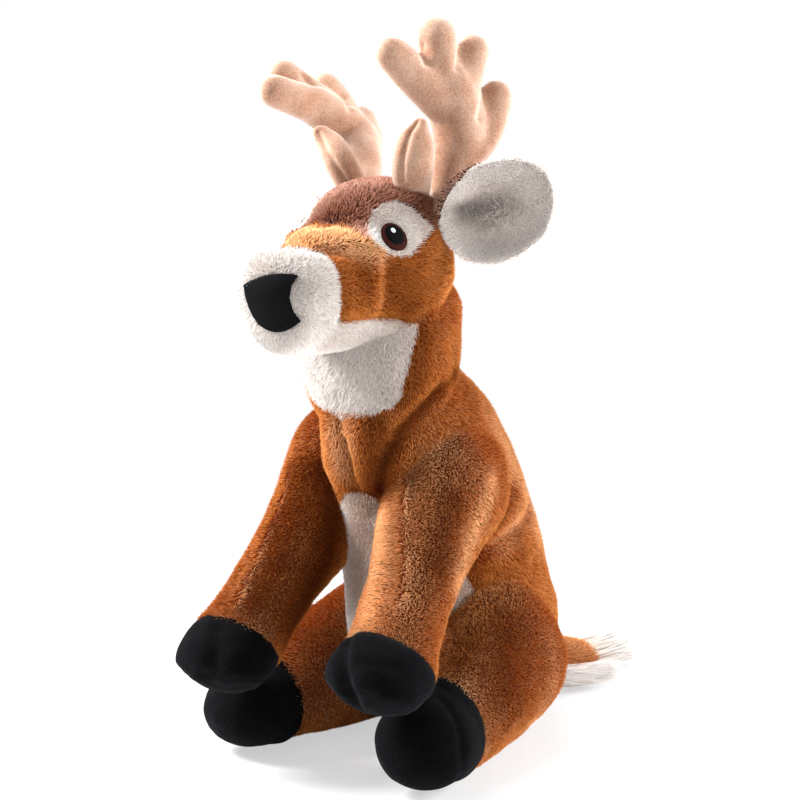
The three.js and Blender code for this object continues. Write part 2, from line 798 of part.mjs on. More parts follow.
// Ears and antlers, each sewn into the head at its root
for (const { side, name } of sides) {
  const lining = earLiningForm(side, name);
  const back = stuffedForm(earForm(side, name)).subtract(stuffedForm(lining, -seamGap));
  place(`ear_back_${name}`, back, crownBrown, 0.95);
  place(`ear_lining_${name}`, stuffedForm(lining), plushWhite, 0.95);
  const frame = antlerFrame(side, name);
  const limbs = antlerLimbs(frame);
  place(`antler_${name}`, joined(limbs.map((limb) => stuffedForm(limb))), antlerBeige, 0.9);
  const beamRoom = joined(limbs.slice(0, 2).map((limb) => stuffedForm(limb, -seamGap)));
  place(`antler_brow_tine_${name}`, stuffedForm(browTine(frame)).subtract(beamRoom), antlerBeige, 0.9);
}

export default deer;
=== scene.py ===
import math
import bmesh
import bpy
import numpy as np
from mathutils import Matrix, Vector
from mathutils.bvhtree import BVHTree


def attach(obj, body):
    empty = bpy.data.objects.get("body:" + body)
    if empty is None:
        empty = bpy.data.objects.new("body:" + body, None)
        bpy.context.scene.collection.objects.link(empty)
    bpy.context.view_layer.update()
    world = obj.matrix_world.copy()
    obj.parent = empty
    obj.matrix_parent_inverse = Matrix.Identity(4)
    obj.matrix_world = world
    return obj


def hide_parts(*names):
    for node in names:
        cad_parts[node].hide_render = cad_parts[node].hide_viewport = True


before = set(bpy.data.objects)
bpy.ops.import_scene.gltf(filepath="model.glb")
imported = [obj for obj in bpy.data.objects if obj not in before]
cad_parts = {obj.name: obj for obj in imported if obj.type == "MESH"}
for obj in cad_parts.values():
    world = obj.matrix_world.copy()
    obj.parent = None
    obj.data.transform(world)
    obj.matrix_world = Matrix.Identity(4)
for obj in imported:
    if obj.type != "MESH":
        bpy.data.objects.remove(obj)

scene = bpy.context.scene
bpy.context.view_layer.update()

# Camera
# It stands at the deer's front left, a little above the floor, as far off as a studio camera.
# Places read off the photograph are pixels of its 800 by 800 frame.
mm = 0.001
photo_side = 800
mm_per_pixel = 0.55
focal_pixels = 2180
frame_sensor = 36.0
view_turn = math.radians(37)
view_rise = math.radians(9)
looked_at = Vector((0, -62, 197)) * mm
camera_back = Vector((
    math.sin(view_turn) * math.cos(view_rise),
    -math.cos(view_turn) * math.cos(view_rise),
    math.sin(view_rise),
))
camera_right = Vector((math.cos(view_turn), math.sin(view_turn), 0))
camera_up = camera_back.cross(camera_right)
camera_place = looked_at + camera_back * 1200 * mm


def put_in_scene(name, data):
    piece = bpy.data.objects.new(name, data)
    scene.collection.objects.link(piece)
    return piece


lens = bpy.data.cameras.new("studio_camera")
lens.sensor_width = frame_sensor
lens.lens = frame_sensor * focal_pixels / photo_side
lens.clip_start = 0.05
lens.clip_end = 20
camera = put_in_scene("studio_camera", lens)
camera_axes = Matrix((camera_right, camera_up, camera_back)).transposed().to_4x4()
camera.matrix_world = Matrix.Translation(camera_place) @ camera_axes
scene.camera = camera


def photo_pixels(points):
    """Where points, in metres, show in the photograph."""
    away = np.asarray(points, float) - np.array(camera_place)
    depth = -away @ np.array(camera_back)
    across = photo_side / 2 + focal_pixels * (away @ np.array(camera_right)) / depth
    down = photo_side / 2 - focal_pixels * (away @ np.array(camera_up)) / depth
    return np.stack([across, down], -1)


def on_plane(pixel, place, facing):
    """Where the camera's line through a pixel meets the plane through a place."""
    ray = photo_ray(pixel)
    return camera_place + ray * ((place - camera_place).dot(facing) / ray.dot(facing))


def photo_ray(pixel):
    """The direction that a pixel looks along."""
    across = camera_right * (pixel[0] - photo_side / 2) / focal_pixels
    down = camera_up * (pixel[1] - photo_side / 2) / focal_pixels
    return (across - down - camera_back).normalized()


# Floor and light
# A pale seamless floor, a soft lamp on each side from a little behind, and a softer one in front.
# The background is white only to the camera and to reflections.
def join(tree, node, inputs):
    """Sets a node's inputs, or links them to a socket or to the first output of another node."""
    for key, value in inputs.items():
        if isinstance(value, bpy.types.Node):
            value = value.outputs[0]
        if isinstance(value, bpy.types.NodeSocket):
            tree.links.new(value, node.inputs[key])
        else:
            node.inputs[key].default_value = value


def add(tree, kind, inputs=None, **settings):
    """Adds one node with its settings, and sets or links its inputs."""
    made = tree.nodes.new(kind)
    for key, value in settings.items():
        setattr(made, key, value)
    join(tree, made, inputs or {})
    return made


def meshed(name, shape):
    """A mesh of a shape, which is then done with."""
    mesh = bpy.data.meshes.new(name)
    shape.to_mesh(mesh)
    shape.free()
    return mesh


def in_order(shape):
    """Sorts faces that bmesh gives in another order each run, so that pile is sown the same each time."""
    across = Vector((0.3137, 0.5691, 1.0))
    shape.faces.sort(key=lambda face: face.calc_center_median().dot(across))


def linear(code):
    """An sRGB hex colour as linear red, green, blue and alpha."""
    parts = [int(code[i:i + 2], 16) / 255 for i in (0, 2, 4)]
    return [c / 12.92 if c <= 0.04045 else ((c + 0.055) / 1.055) ** 2.4 for c in parts] + [1]


def finish_named(name):
    """A new material with an empty Principled shader."""
    material = bpy.data.materials.new(name)
    material.use_nodes = True
    tree = material.node_tree
    return material, tree, tree.nodes["Principled BSDF"]


world = bpy.data.worlds.new("studio")
scene.world = world
world.use_nodes = True
sky = world.node_tree
sky.nodes.clear()
seen = add(sky, "ShaderNodeLightPath")
shiny = add(
    sky, "ShaderNodeMath", {0: seen.outputs["Is Camera Ray"], 1: seen.outputs["Is Glossy Ray"]},
    operation="MAXIMUM",
)
through = add(sky, "ShaderNodeMath", {0: shiny, 1: seen.outputs["Is Transmission Ray"]}, operation="MAXIMUM")
fill_light = add(sky, "ShaderNodeBackground", {"Color": linear("F4F5FA"), "Strength": 0.16})
white = add(sky, "ShaderNodeBackground", {"Color": linear("FFFFFF"), "Strength": 1.0})
either = add(sky, "ShaderNodeMixShader", {0: through, 1: fill_light, 2: white})
add(sky, "ShaderNodeOutputWorld", {"Surface": either})

lamps = [
    ("lamp_left", (-830, -570, 960), 38.0, 420),
    ("lamp_right", (860, 520, 520), 21.0, 520),
    ("lamp_front", (420, -1150, 900), 4.2, 900),
    ("lamp_top", (-150, -60, 1250), 6.0, 600),
]
for name, place, watts, side in lamps:
    light = bpy.data.lights.new(name, "AREA")
    light.energy = watts
    light.size = side * mm
    lamp = put_in_scene(name, light)
    lamp.location = Vector(place) * mm
    lamp.rotation_mode = "QUATERNION"
    lamp.rotation_quaternion = (lamp.location - looked_at).to_track_quat("Z", "Y")

ground = bmesh.new()
bmesh.ops.create_grid(ground, x_segments=2, y_segments=2, size=12.0)
bmesh.ops.translate(ground, vec=(0, 0, -0.3 * mm), verts=ground.verts)
floor_mesh = meshed("floor", ground)
floor_piece = put_in_scene("floor", floor_mesh)
floor_finish, floor_tree, floor_shader = finish_named("white_paper_floor")
join(floor_tree, floor_shader, {"Base Color": linear("F3F3F3"), "Roughness": 0.9})
seen_by = add(floor_tree, "ShaderNodeLightPath")
spot = add(floor_tree, "ShaderNodeTexCoord").outputs["Object"]
far = add(floor_tree, "ShaderNodeVectorMath", {0: spot}, operation="LENGTH").outputs["Value"]
paleness = add(
    floor_tree, "ShaderNodeMapRange", {0: far, 1: 0.15, 2: 0.7, 3: 0.55, 4: 1.0},
    interpolation_type="SMOOTHSTEP",
)
glow = add(floor_tree, "ShaderNodeEmission", {"Color": linear("FFFFFF"), "Strength": 1.0})
shade = add(floor_tree, "ShaderNodeMixShader", {0: paleness, 1: floor_shader, 2: glow})
to_camera = add(
    floor_tree, "ShaderNodeMixShader", {0: seen_by.outputs["Is Camera Ray"], 1: floor_shader, 2: shade},
)
join(floor_tree, floor_tree.nodes["Material Output"], {"Surface": to_camera})
floor_mesh.materials.append(floor_finish)

# Torso
# A pear of brown knitted plush stuffed with fibre, sewn up the chest, with a white belly let in.
# The real pile is about 5 mm long. It is drawn as 3.3 mm strands on a skin set 2.6 mm in, fewer and
# thicker than the real ones so that they show. It lies down towards the seat and is lighter at its tips;
# its darker roots are partly painted shade.
pile_depth = 2.6
nowhere = -9


def spline(points):
    """Points close together on a smooth line through the given ones."""
    given = [np.array(p, float) for p in points]
    given = [2 * given[0] - given[1]] + given + [2 * given[-1] - given[-2]]
    line = []
    for a, b, c, d in zip(given, given[1:], given[2:], given[3:]):
        ta = 0.0
        tb = ta + np.linalg.norm(b - a) ** 0.5
        tc = tb + np.linalg.norm(c - b) ** 0.5
        td = tc + np.linalg.norm(d - c) ** 0.5
        for t in np.linspace(tb, tc, 24, endpoint=False):
            ab = (tb - t) / (tb - ta) * a + (t - ta) / (tb - ta) * b
            bc = (tc - t) / (tc - tb) * b + (t - tb) / (tc - tb) * c
            cd = (td - t) / (td - tc) * c + (t - tc) / (td - tc) * d
            abc = (tc - t) / (tc - ta) * ab + (t - ta) / (tc - ta) * bc
            bcd = (td - t) / (td - tb) * bc + (t - tb) / (td - tb) * cd
            line.append((tc - t) / (tc - tb) * abc + (t - tb) / (tc - tb) * bcd)
    return np.array(line + [given[-2]])


def eased(rows, along):
    """A row of shares read between its rows by a smooth cubic."""
    n = 0
    while n < len(rows) - 2 and along > rows[n + 1][0]:
        n += 1

    def slope(i, k):
        low, high = rows[max(i - 1, 0)], rows[min(i + 1, len(rows) - 1)]
        return (high[k] - low[k]) / (high[0] - low[0])

    span = rows[n + 1][0] - rows[n][0]
    t = min(max((along - rows[n][0]) / span, 0), 1)
    found = []
    for k in (1, 2):
        leave = (t ** 3 - 2 * t * t + t) * span * slope(n, k)
        arrive = (t ** 3 - t * t) * span * slope(n + 1, k)
        here = rows[n][k] * (1 - t * t * (3 - 2 * t))
        there = rows[n + 1][k] * t * t * (3 - 2 * t)
        found.append(here + there + leave + arrive)
    return found


def stuff_along(
    shape, points, across, half_width, half_rise, rows, start_rounding=0, end_rounding=0, inset=0, rings=26,
    sides=32,
):
    """Adds a form that swells along a line: circles set along it, each bridged to the next. In mm."""
    line = spline(points)
    steps = np.concatenate([[0], np.cumsum(np.linalg.norm(np.diff(line, axis=0), axis=1))])
    length = steps[-1]
    start = inset if start_rounding else 0
    end = length - (inset if end_rounding else 0)

    def rounding(depth, extent):
        if not extent:
            return 1
        t = min(max((depth - inset) / (extent - inset), 0), 1)
        return math.sqrt(max(1 - (1 - t) ** 2, 0.0004))

    loops = []
    for i in range(rings + 1):
        at = start + (end - start) * (1 - math.cos(math.pi * i / rings)) / 2
        centre = Vector([np.interp(at, steps, line[:, k]) for k in range(3)])
        run = [np.interp(at + 1, steps, line[:, k]) - np.interp(at - 1, steps, line[:, k]) for k in range(3)]
        ahead = Vector(run).normalized()
        side = (Vector(across) - ahead * ahead.dot(Vector(across))).normalized()
        width_share, rise_share = eased(rows, at / length)
        scale = rounding(at, start_rounding) * rounding(length - at, end_rounding)
        place = Matrix((
            side * (half_width * width_share - inset) * scale * mm,
            ahead.cross(side) * (half_rise * rise_share - inset) * scale * mm,
            ahead * mm,
        )).transposed().to_4x4()
        place.translation = centre * mm
        ring = bmesh.ops.create_circle(shape, segments=sides, radius=1, matrix=place)["verts"]
        loops.append(list({e for v in ring for e in v.link_edges}))
    for low, high in zip(loops, loops[1:]):
        bmesh.ops.bridge_loops(shape, edges=low + high)
    bmesh.ops.contextual_create(shape, geom=loops[0])
    bmesh.ops.contextual_create(shape, geom=loops[-1])


def settled(piece):
    """The piece with its modifiers applied."""
    bpy.context.view_layer.update()
    mesh = bpy.data.meshes.new_from_object(piece.evaluated_get(bpy.context.evaluated_depsgraph_get()))
    piece.modifiers.clear()
    piece.data = mesh
    mesh.name = piece.name
    return piece


def sewn_skin(name, shape, knit=3.5, evening=10, lumpiness=2.5):
    """Makes one smooth closed skin of the forms in a shape, welded where they pass into each other."""
    bmesh.ops.recalc_face_normals(shape, faces=shape.faces)
    piece = put_in_scene(name, meshed(name, shape))
    weld = piece.modifiers.new("weld", "REMESH")
    weld.mode = "VOXEL"
    weld.voxel_size = knit * mm
    even = piece.modifiers.new("even", "SMOOTH")
    even.factor = 0.5
    even.iterations = evening
    fine = piece.modifiers.new("fine", "SUBSURF")
    fine.levels = 1
    fine.render_levels = 1
    lumps = bpy.data.textures.new(name, "CLOUDS")
    lumps.noise_scale = 26 * mm
    uneven = piece.modifiers.new("uneven", "DISPLACE")
    uneven.texture = lumps
    uneven.strength = lumpiness * mm
    settled(piece)
    piece.data.shade_smooth()
    return piece


def places_of(mesh):
    found = np.zeros(len(mesh.vertices) * 3, np.float32)
    mesh.vertices.foreach_get("co", found)
    return found.reshape(-1, 3).astype(float)


def normals_of(mesh):
    found = np.zeros(len(mesh.vertices) * 3, np.float32)
    mesh.vertices.foreach_get("normal", found)
    return found.reshape(-1, 3).astype(float)


def move_to(mesh, places):
    mesh.vertices.foreach_set("co", places.astype(np.float32).ravel())
    mesh.update()


def off_line(points, line):
    """How far points are from a line through several points, in the units of both."""
    nearest = np.full(len(points), 1e9)
    for a, b in zip(line, line[1:]):
        run = b - a
        share = np.clip(((points - a) @ run) / max(run @ run, 1e-12), 0, 1)
        nearest = np.minimum(nearest, np.linalg.norm(points - a - share[:, None] * run, axis=1))
    return nearest


def surface_of(piece):
    """The surface of a piece, to cast lines at and to measure to."""
    mesh = piece.data
    return BVHTree.FromPolygons([v.co for v in mesh.vertices], [p.vertices for p in mesh.polygons])


def seen_on(piece, pixels):
    """Where the camera's lines through pixels of the photograph meet a piece, in metres."""
    tree = surface_of(piece)
    hits = [tree.ray_cast(camera_place, photo_ray(pixel))[0] for pixel in pixels]
    return [np.array(hit) for hit in hits if hit is not None]


def crease(piece, pixels, depth, width, other_side=False):
    """Draws the cloth in along a line of pixels, or lets it out where the depth is negative. In mm."""
    hits = seen_on(piece, pixels)
    if len(hits) < 2:
        return
    draw_in(piece, hits, depth, width)
    if other_side:
        draw_in(piece, [hit * [-1, 1, 1] for hit in hits], depth, width)


def eased_step(start, end, value):
    """Rises smoothly from 0 at the start to 1 at the end."""
    t = np.clip((value - start) / (end - start), 0, 1)
    return t * t * (3 - 2 * t)


def swell(piece, amount):
    """Pushes a skin out by an amount read from its places. Both in mm."""
    mesh = piece.data
    places = places_of(mesh)
    move_to(mesh, places + normals_of(mesh) * (amount(places / mm) * mm)[:, None])


def draw_in(piece, line, depth, width):
    """Draws the cloth in along a line of places, most on the line and less to the width each side."""
    mesh = piece.data
    places = places_of(mesh)
    reach = off_line(places, line) / (width * mm)
    move_to(mesh, places - normals_of(mesh) * (depth * mm * np.exp(-reach * reach))[:, None])


def let_out(piece, start, end, by, width, sides=(1, -1)):
    """Fills a skin out along a line between two places, on both sides. In mm."""
    for side in sides:
        draw_in(piece, [np.array(place) * [side, 1, 1] * mm for place in (start, end)], -by, width)


def buried(places, *pieces):
    """How deep places lie inside any of several skins, in mm, and below zero outside them all."""
    deepest = np.full(len(places), -1e3)
    for piece in pieces:
        tree = surface_of(piece)
        for i, place in enumerate(places):
            near, out, _, gap = tree.find_nearest(Vector(place))
            deepest[i] = max(deepest[i], gap / mm if (near - Vector(place)).dot(out) > 0 else -gap / mm)
    return deepest


def inside_outline(pixels, outline):
    """How deep pixels lie in a closed outline, and below zero outside it, in mm at the deer."""
    ring = [np.array(p, float) for p in outline]
    ring.append(ring[0])
    depth = off_line(pixels, ring)
    inside = np.zeros(len(pixels), bool)
    for a, b in zip(ring, ring[1:]):
        crosses = (a[1] > pixels[:, 1]) != (b[1] > pixels[:, 1])
        with np.errstate(divide="ignore", invalid="ignore"):
            meets = a[0] + (pixels[:, 1] - a[1]) / (b[1] - a[1]) * (b[0] - a[0])
        inside ^= crosses & (pixels[:, 0] < meets)
    return np.where(inside, depth, -depth) * mm_per_pixel


def mark(piece, name, value):
    """Keeps a number or a direction for each place of the skin."""
    mesh = piece.data
    value = np.asarray(value, np.float32)
    if value.ndim == 2:
        mesh.attributes.new(name, "FLOAT_VECTOR", "POINT").data.foreach_set("vector", value.ravel())
    else:
        mesh.attributes.new(name, "FLOAT", "POINT").data.foreach_set("value", value)


def both_sides(piece, outline):
    """How deep each place of a skin lies in an outline drawn on the near side and its mirror image."""
    places = places_of(piece.data)
    places[:, 0] = np.abs(places[:, 0])
    return inside_outline(photo_pixels(places), outline)


def pile_strand(name, length, radius, bend=0.0):
    """One tuft of pile: a three-sided spike open at its root, bent if it is long, with its length along v."""
    shape = bmesh.new()
    bmesh.ops.create_cone(
        shape, cap_ends=False, segments=3, radius1=radius * mm, radius2=0, depth=length * mm,
        matrix=Matrix.Translation((0, 0, length * mm / 2)),
    )
    bmesh.ops.remove_doubles(shape, verts=shape.verts, dist=1e-7)
    if bend:
        sides = [e for e in shape.edges if abs(e.verts[0].co.z - e.verts[1].co.z) > length * mm / 2]
        bmesh.ops.subdivide_edges(shape, edges=sides, cuts=2)
        for v in shape.verts:
            v.co.x += bend * mm * (v.co.z / (length * mm)) ** 2
    bmesh.ops.triangulate(shape, faces=shape.faces)
    strand_map = shape.loops.layers.uv.new("OFBake")
    for face in shape.faces:
        for loop in face.loops:
            rise = loop.vert.co.z / (length * mm)
            loop[strand_map].uv = (0.5 + loop.vert.co.x / (radius * mm) * 0.2, 0.02 + 0.96 * rise)
    return put_in_scene(name, meshed(name, shape))


def pile(
    name, skin, strand, per_square_mm, finish, where, lay=0.6, stray=0.25, clump=0.6, soft=0.85, seed=1,
):
    """Covers the part of a skin whose mark is above zero with strands that lean along its nap."""
    carrier = put_in_scene(name, skin.data.copy())
    tree = bpy.data.node_groups.new(name, "GeometryNodeTree")
    tree.interface.new_socket("Geometry", in_out="INPUT", socket_type="NodeSocketGeometry")
    tree.interface.new_socket("Geometry", in_out="OUTPUT", socket_type="NodeSocketGeometry")
    start = add(tree, "NodeGroupInput")
    read = {}
    for key, kind in (
        (where, "FLOAT"), ("height", "FLOAT"), ("nap", "FLOAT_VECTOR"), ("facing", "FLOAT_VECTOR"),
    ):
        read[key] = add(tree, "GeometryNodeInputNamedAttribute", {"Name": key}, data_type=kind)
    chosen = add(
        tree, "FunctionNodeCompare", {0: read[where], 1: 0.0}, data_type="FLOAT", operation="GREATER_THAN",
    )
    points = add(tree, "GeometryNodeDistributePointsOnFaces", {
        "Mesh": start, "Density": per_square_mm * 1e6, "Seed": seed, "Selection": chosen,
    }, distribute_method="RANDOM")
    out = points.outputs["Normal"]

    # How far round each strand is turned, how tall it is and its tone, all by chance
    chance = {}
    for key, low, high, own_seed in (
        ("turn", 0.0, 6.283, 11), ("tall", 0.85, 1.08, 13), ("tone", 0.0, 1.0, 17),
    ):
        drawn = {2: low, 3: high, "Seed": seed + own_seed}
        chance[key] = add(tree, "FunctionNodeRandomValue", drawn, data_type="FLOAT").outputs[1]
    drawn = {0: (-1, -1, -1), 1: (1, 1, 1), "Seed": seed + 7}
    loose = add(tree, "FunctionNodeRandomValue", drawn, data_type="FLOAT_VECTOR")

    # Each strand leans along the nap, strays a little, and gathers in small and in large clumps
    pulls = [(read["nap"], lay), (loose, stray)]
    for width, strength in ((1.8, clump), (9.0, clump * 0.6)):
        noise = {"Scale": 1 / (width * mm), "Detail": 0.0}
        tuft = add(tree, "ShaderNodeTexNoise", noise, noise_dimensions="3D").outputs["Color"]
        tuft = add(tree, "ShaderNodeVectorMath", {0: tuft, 1: (0.5, 0.5, 0.5)}, operation="SUBTRACT")
        pulls.append((tuft, strength))
    aim = out
    for pull, strength in pulls:
        pull = add(tree, "ShaderNodeVectorMath", {0: pull, "Scale": strength}, operation="SCALE")
        aim = add(tree, "ShaderNodeVectorMath", {0: aim, 1: pull}, operation="ADD")
    spin = add(tree, "FunctionNodeAxisAngleToRotation", {"Axis": (0, 0, 1), "Angle": chance["turn"]})
    turned = add(tree, "FunctionNodeAlignRotationToVector", {"Vector": aim}, axis="Z")
    turned = add(
        tree, "FunctionNodeRotateRotation", {"Rotation": turned, "Rotate By": spin}, rotation_space="LOCAL",
    )
    tall = add(tree, "ShaderNodeMath", {0: chance["tall"], 1: read["height"]}, operation="MULTIPLY")
    sized = add(tree, "ShaderNodeCombineXYZ", {0: 1.0, 1: 1.0, 2: tall})
    source = add(tree, "GeometryNodeObjectInfo", {"Object": strand})
    held = points
    for key, kind, value in (("tone", "FLOAT", chance["tone"]), ("facing", "FLOAT_VECTOR", out)):
        stored = {"Geometry": held, "Name": key, "Value": value}
        held = add(tree, "GeometryNodeStoreNamedAttribute", stored, data_type=kind, domain="POINT")
    set_out = add(tree, "GeometryNodeInstanceOnPoints", {
        "Points": held, "Instance": source.outputs["Geometry"], "Rotation": turned, "Scale": sized,
    })
    real = add(tree, "GeometryNodeRealizeInstances", {0: set_out})

    # The light falls on a strand mostly as on the skin below it
    own = add(tree, "GeometryNodeInputNormal")
    mixed = {0: soft, 4: own, 5: read["facing"]}
    blended = add(tree, "ShaderNodeMix", mixed, data_type="VECTOR").outputs[1]
    blended = add(tree, "ShaderNodeVectorMath", {0: blended}, operation="NORMALIZE")
    shown = {"Mesh": real, "Custom Normal": blended}
    bent = add(tree, "GeometryNodeSetMeshNormal", shown, mode="FREE", domain="POINT")
    bare = add(tree, "GeometryNodeRemoveAttribute", {"Geometry": bent, "Name": "facing"})
    add(tree, "NodeGroupOutput", {0: bare})
    carrier.modifiers.new("pile", "NODES").node_group = tree
    settled(carrier)
    carrier.data.materials.clear()
    carrier.data.materials.append(finish)
    return carrier


def plush_pile(name, root, middle, tip, painted_highlight, painted_shade, sheen=0.1):
    """Finish of a strand of pile: dark at its root, partly painted shade; with painted sheen where seen from
    the side; with painted highlight and painted shade where its tint mark says.
    """
    material, tree, shader = finish_named(name)
    up = add(tree, "ShaderNodeUVMap", uv_map="OFBake")
    rise = add(tree, "ShaderNodeSeparateXYZ", {0: up}).outputs[1]
    # Each strand darkens towards its root: partly the fibre's own colour, partly painted shade deep in the
    # pile.
    ramp = add(tree, "ShaderNodeValToRGB", {0: rise})
    ramp.color_ramp.elements[0].color = linear(root)
    ramp.color_ramp.elements[0].position = 0.05
    ramp.color_ramp.elements[1].color = linear(tip)
    ramp.color_ramp.elements[1].position = 1.0
    ramp.color_ramp.elements.new(0.55).color = linear(middle)
    tone = add(tree, "ShaderNodeAttribute", attribute_name="tone").outputs["Fac"]
    where = add(tree, "ShaderNodeTexCoord").outputs["Object"]
    cloud = add(
        tree, "ShaderNodeTexNoise", {"Vector": where, "Scale": 1 / (22.0 * mm), "Detail": 2.0},
    ).outputs["Fac"]
    mixed = add(tree, "ShaderNodeMath", {0: tone, 1: cloud}, operation="ADD")
    value = add(tree, "ShaderNodeMapRange", {0: mixed, 1: 0.3, 2: 1.7, 3: 0.8, 4: 1.2}, clamp=False)
    # The tint mark lays on painted highlight above zero and painted shade below zero.
    tint = add(tree, "ShaderNodeAttribute", attribute_name="tint").outputs["Fac"]
    darker = add(tree, "ShaderNodeMath", {0: tint, 1: -1.0}, operation="MULTIPLY", use_clamp=True)
    # Painted sheen: the strand is painted paler where its surface turns away from the camera.
    painted_sheen = add(tree, "ShaderNodeLayerWeight", {"Blend": 0.5}).outputs["Facing"]
    painted_sheen = add(tree, "ShaderNodeMapRange", {0: painted_sheen, 1: 0.25, 2: 0.95, 3: 0.0, 4: 0.55})
    paler = add(tree, "ShaderNodeMath", {0: painted_sheen, 1: tint}, operation="ADD", use_clamp=True)
    upper = add(tree, "ShaderNodeMapRange", {0: rise, 1: 0.1, 2: 0.6, 3: 0.25, 4: 1.0})
    paler = add(tree, "ShaderNodeMath", {0: paler, 1: upper}, operation="MULTIPLY")
    colour = add(
        tree, "ShaderNodeMix", {0: paler, 6: ramp, 7: linear(painted_highlight)}, data_type="RGBA",
    ).outputs[2]
    colour = add(
        tree, "ShaderNodeMix", {0: darker, 6: colour, 7: linear(painted_shade)}, data_type="RGBA",
    ).outputs[2]
    shaded = add(tree, "ShaderNodeHueSaturation", {"Value": value, "Color": colour})
    join(tree, shader, {
        "Base Color": shaded, "Roughness": 0.9, "Specular IOR Level": 0.05, "Sheen Weight": sheen,
        "Sheen Roughness": 0.45, "Sheen Tint": linear(tip),
    })
    return material


def knit_backing(name, colours):
    """Finish of the knitted backing under the pile, in each colour where its mark is above zero."""
    material, tree, shader = finish_named(name)
    where = add(tree, "ShaderNodeTexCoord").outputs["Object"]
    nub = add(tree, "ShaderNodeTexNoise", {"Vector": where, "Scale": 1 / (1.4 * mm), "Detail": 3.0})
    colour = linear(colours[0][1])
    for mark_name, code in colours[1:]:
        level = add(tree, "ShaderNodeAttribute", attribute_name=mark_name).outputs["Fac"]
        over = add(tree, "ShaderNodeMath", {0: level, 1: 0.0}, operation="GREATER_THAN")
        colour = add(
            tree, "ShaderNodeMix", {0: over, 6: colour, 7: linear(code)}, data_type="RGBA",
        ).outputs[2]
    shade_of = add(tree, "ShaderNodeMapRange", {0: nub.outputs["Fac"], 1: 0.3, 2: 0.7, 3: 0.75, 4: 1.15})
    shaded = add(tree, "ShaderNodeHueSaturation", {"Value": shade_of, "Color": colour})
    join(tree, shader, {"Base Color": shaded})
    rough = add(
        tree, "ShaderNodeBump", {"Strength": 0.6, "Distance": 0.8 * mm, "Height": nub.outputs["Fac"]},
    )
    join(tree, shader, {
        "Normal": rough, "Roughness": 0.95, "Specular IOR Level": 0.15, "Sheen Weight": 0.2,
    })
    return material


def along_skin(normals, direction):
    """A direction laid flat on each place of a skin."""
    aim = np.broadcast_to(np.asarray(direction, float), normals.shape)
    aim = aim - normals * np.sum(aim * normals, axis=1, keepdims=True)
    return aim / np.maximum(np.linalg.norm(aim, axis=1, keepdims=True), 0.3)


# Each pile's last two colours are its painted highlight and its painted shade, laid on by the tint mark.
brown_pile = plush_pile("brown_plush_pile", "6E2706", "BC6824", "E29E58", "FFD2A0", "521804", sheen=0.06)
white_pile = plush_pile("white_plush_pile", "CDBDB1", "E6E0DB", "F6F3F1", "FFFFFF", "A4846E")
short_strand = pile_strand("short_strand", 3.3, 0.37)


def worn(piece, body, slot, *nodes):
    """Makes a piece ride its body, in place of the plain solids it stands for. Its slot is not used."""
    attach(piece, body)
    if nodes:
        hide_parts(*nodes)


def backed(skin, body, slot, finish, fill, *nodes):
    """Gives a stuffed skin its finish and its body."""
    skin.data.materials.clear()
    skin.data.materials.append(finish)
    worn(skin, body, slot, *nodes)


def parted(piece, pixels, width):
    """Parts the pile along a line of pixels: it is combed away from the line on both sides."""
    hits = seen_on(piece, pixels)
    mesh = piece.data
    places = places_of(mesh)
    nearest = np.full(len(places), 1e9)
    away = np.zeros_like(places)
    for a, b in zip(hits, hits[1:]):
        run = b - a
        share = np.clip(((places - a) @ run) / (run @ run), 0, 1)
        gap = places - a - share[:, None] * run
        size = np.linalg.norm(gap, axis=1)
        nearer = size < nearest
        nearest[nearer], away[nearer] = size[nearer], gap[nearer]
    nap = np.zeros(len(places) * 3, np.float32)
    mesh.attributes["nap"].data.foreach_get("vector", nap)
    reach = nearest / (width * mm)
    push = 1.6 * np.exp(-reach * reach)[:, None] * away / np.maximum(nearest, 1e-6)[:, None]
    mesh.attributes["nap"].data.foreach_set("vector", (nap.reshape(-1, 3) + push).astype(np.float32).ravel())


def paint_light_along(piece, pixels, reach, amount):
    """Marks painted light on the pile beside a line of pixels: paler as painted highlight, darker as painted
    shade. The reach is in mm.
    """
    mesh = piece.data
    if "tint" not in mesh.attributes:
        mark(piece, "tint", np.zeros(len(mesh.vertices)))
    tint = np.zeros(len(mesh.vertices), np.float32)
    mesh.attributes["tint"].data.foreach_get("value", tint)
    near = off_line(places_of(mesh), seen_on(piece, pixels)) / (reach * mm)
    mesh.attributes["tint"].data.foreach_set(
        "value", (tint + amount * np.exp(-near * near)).astype(np.float32),
    )


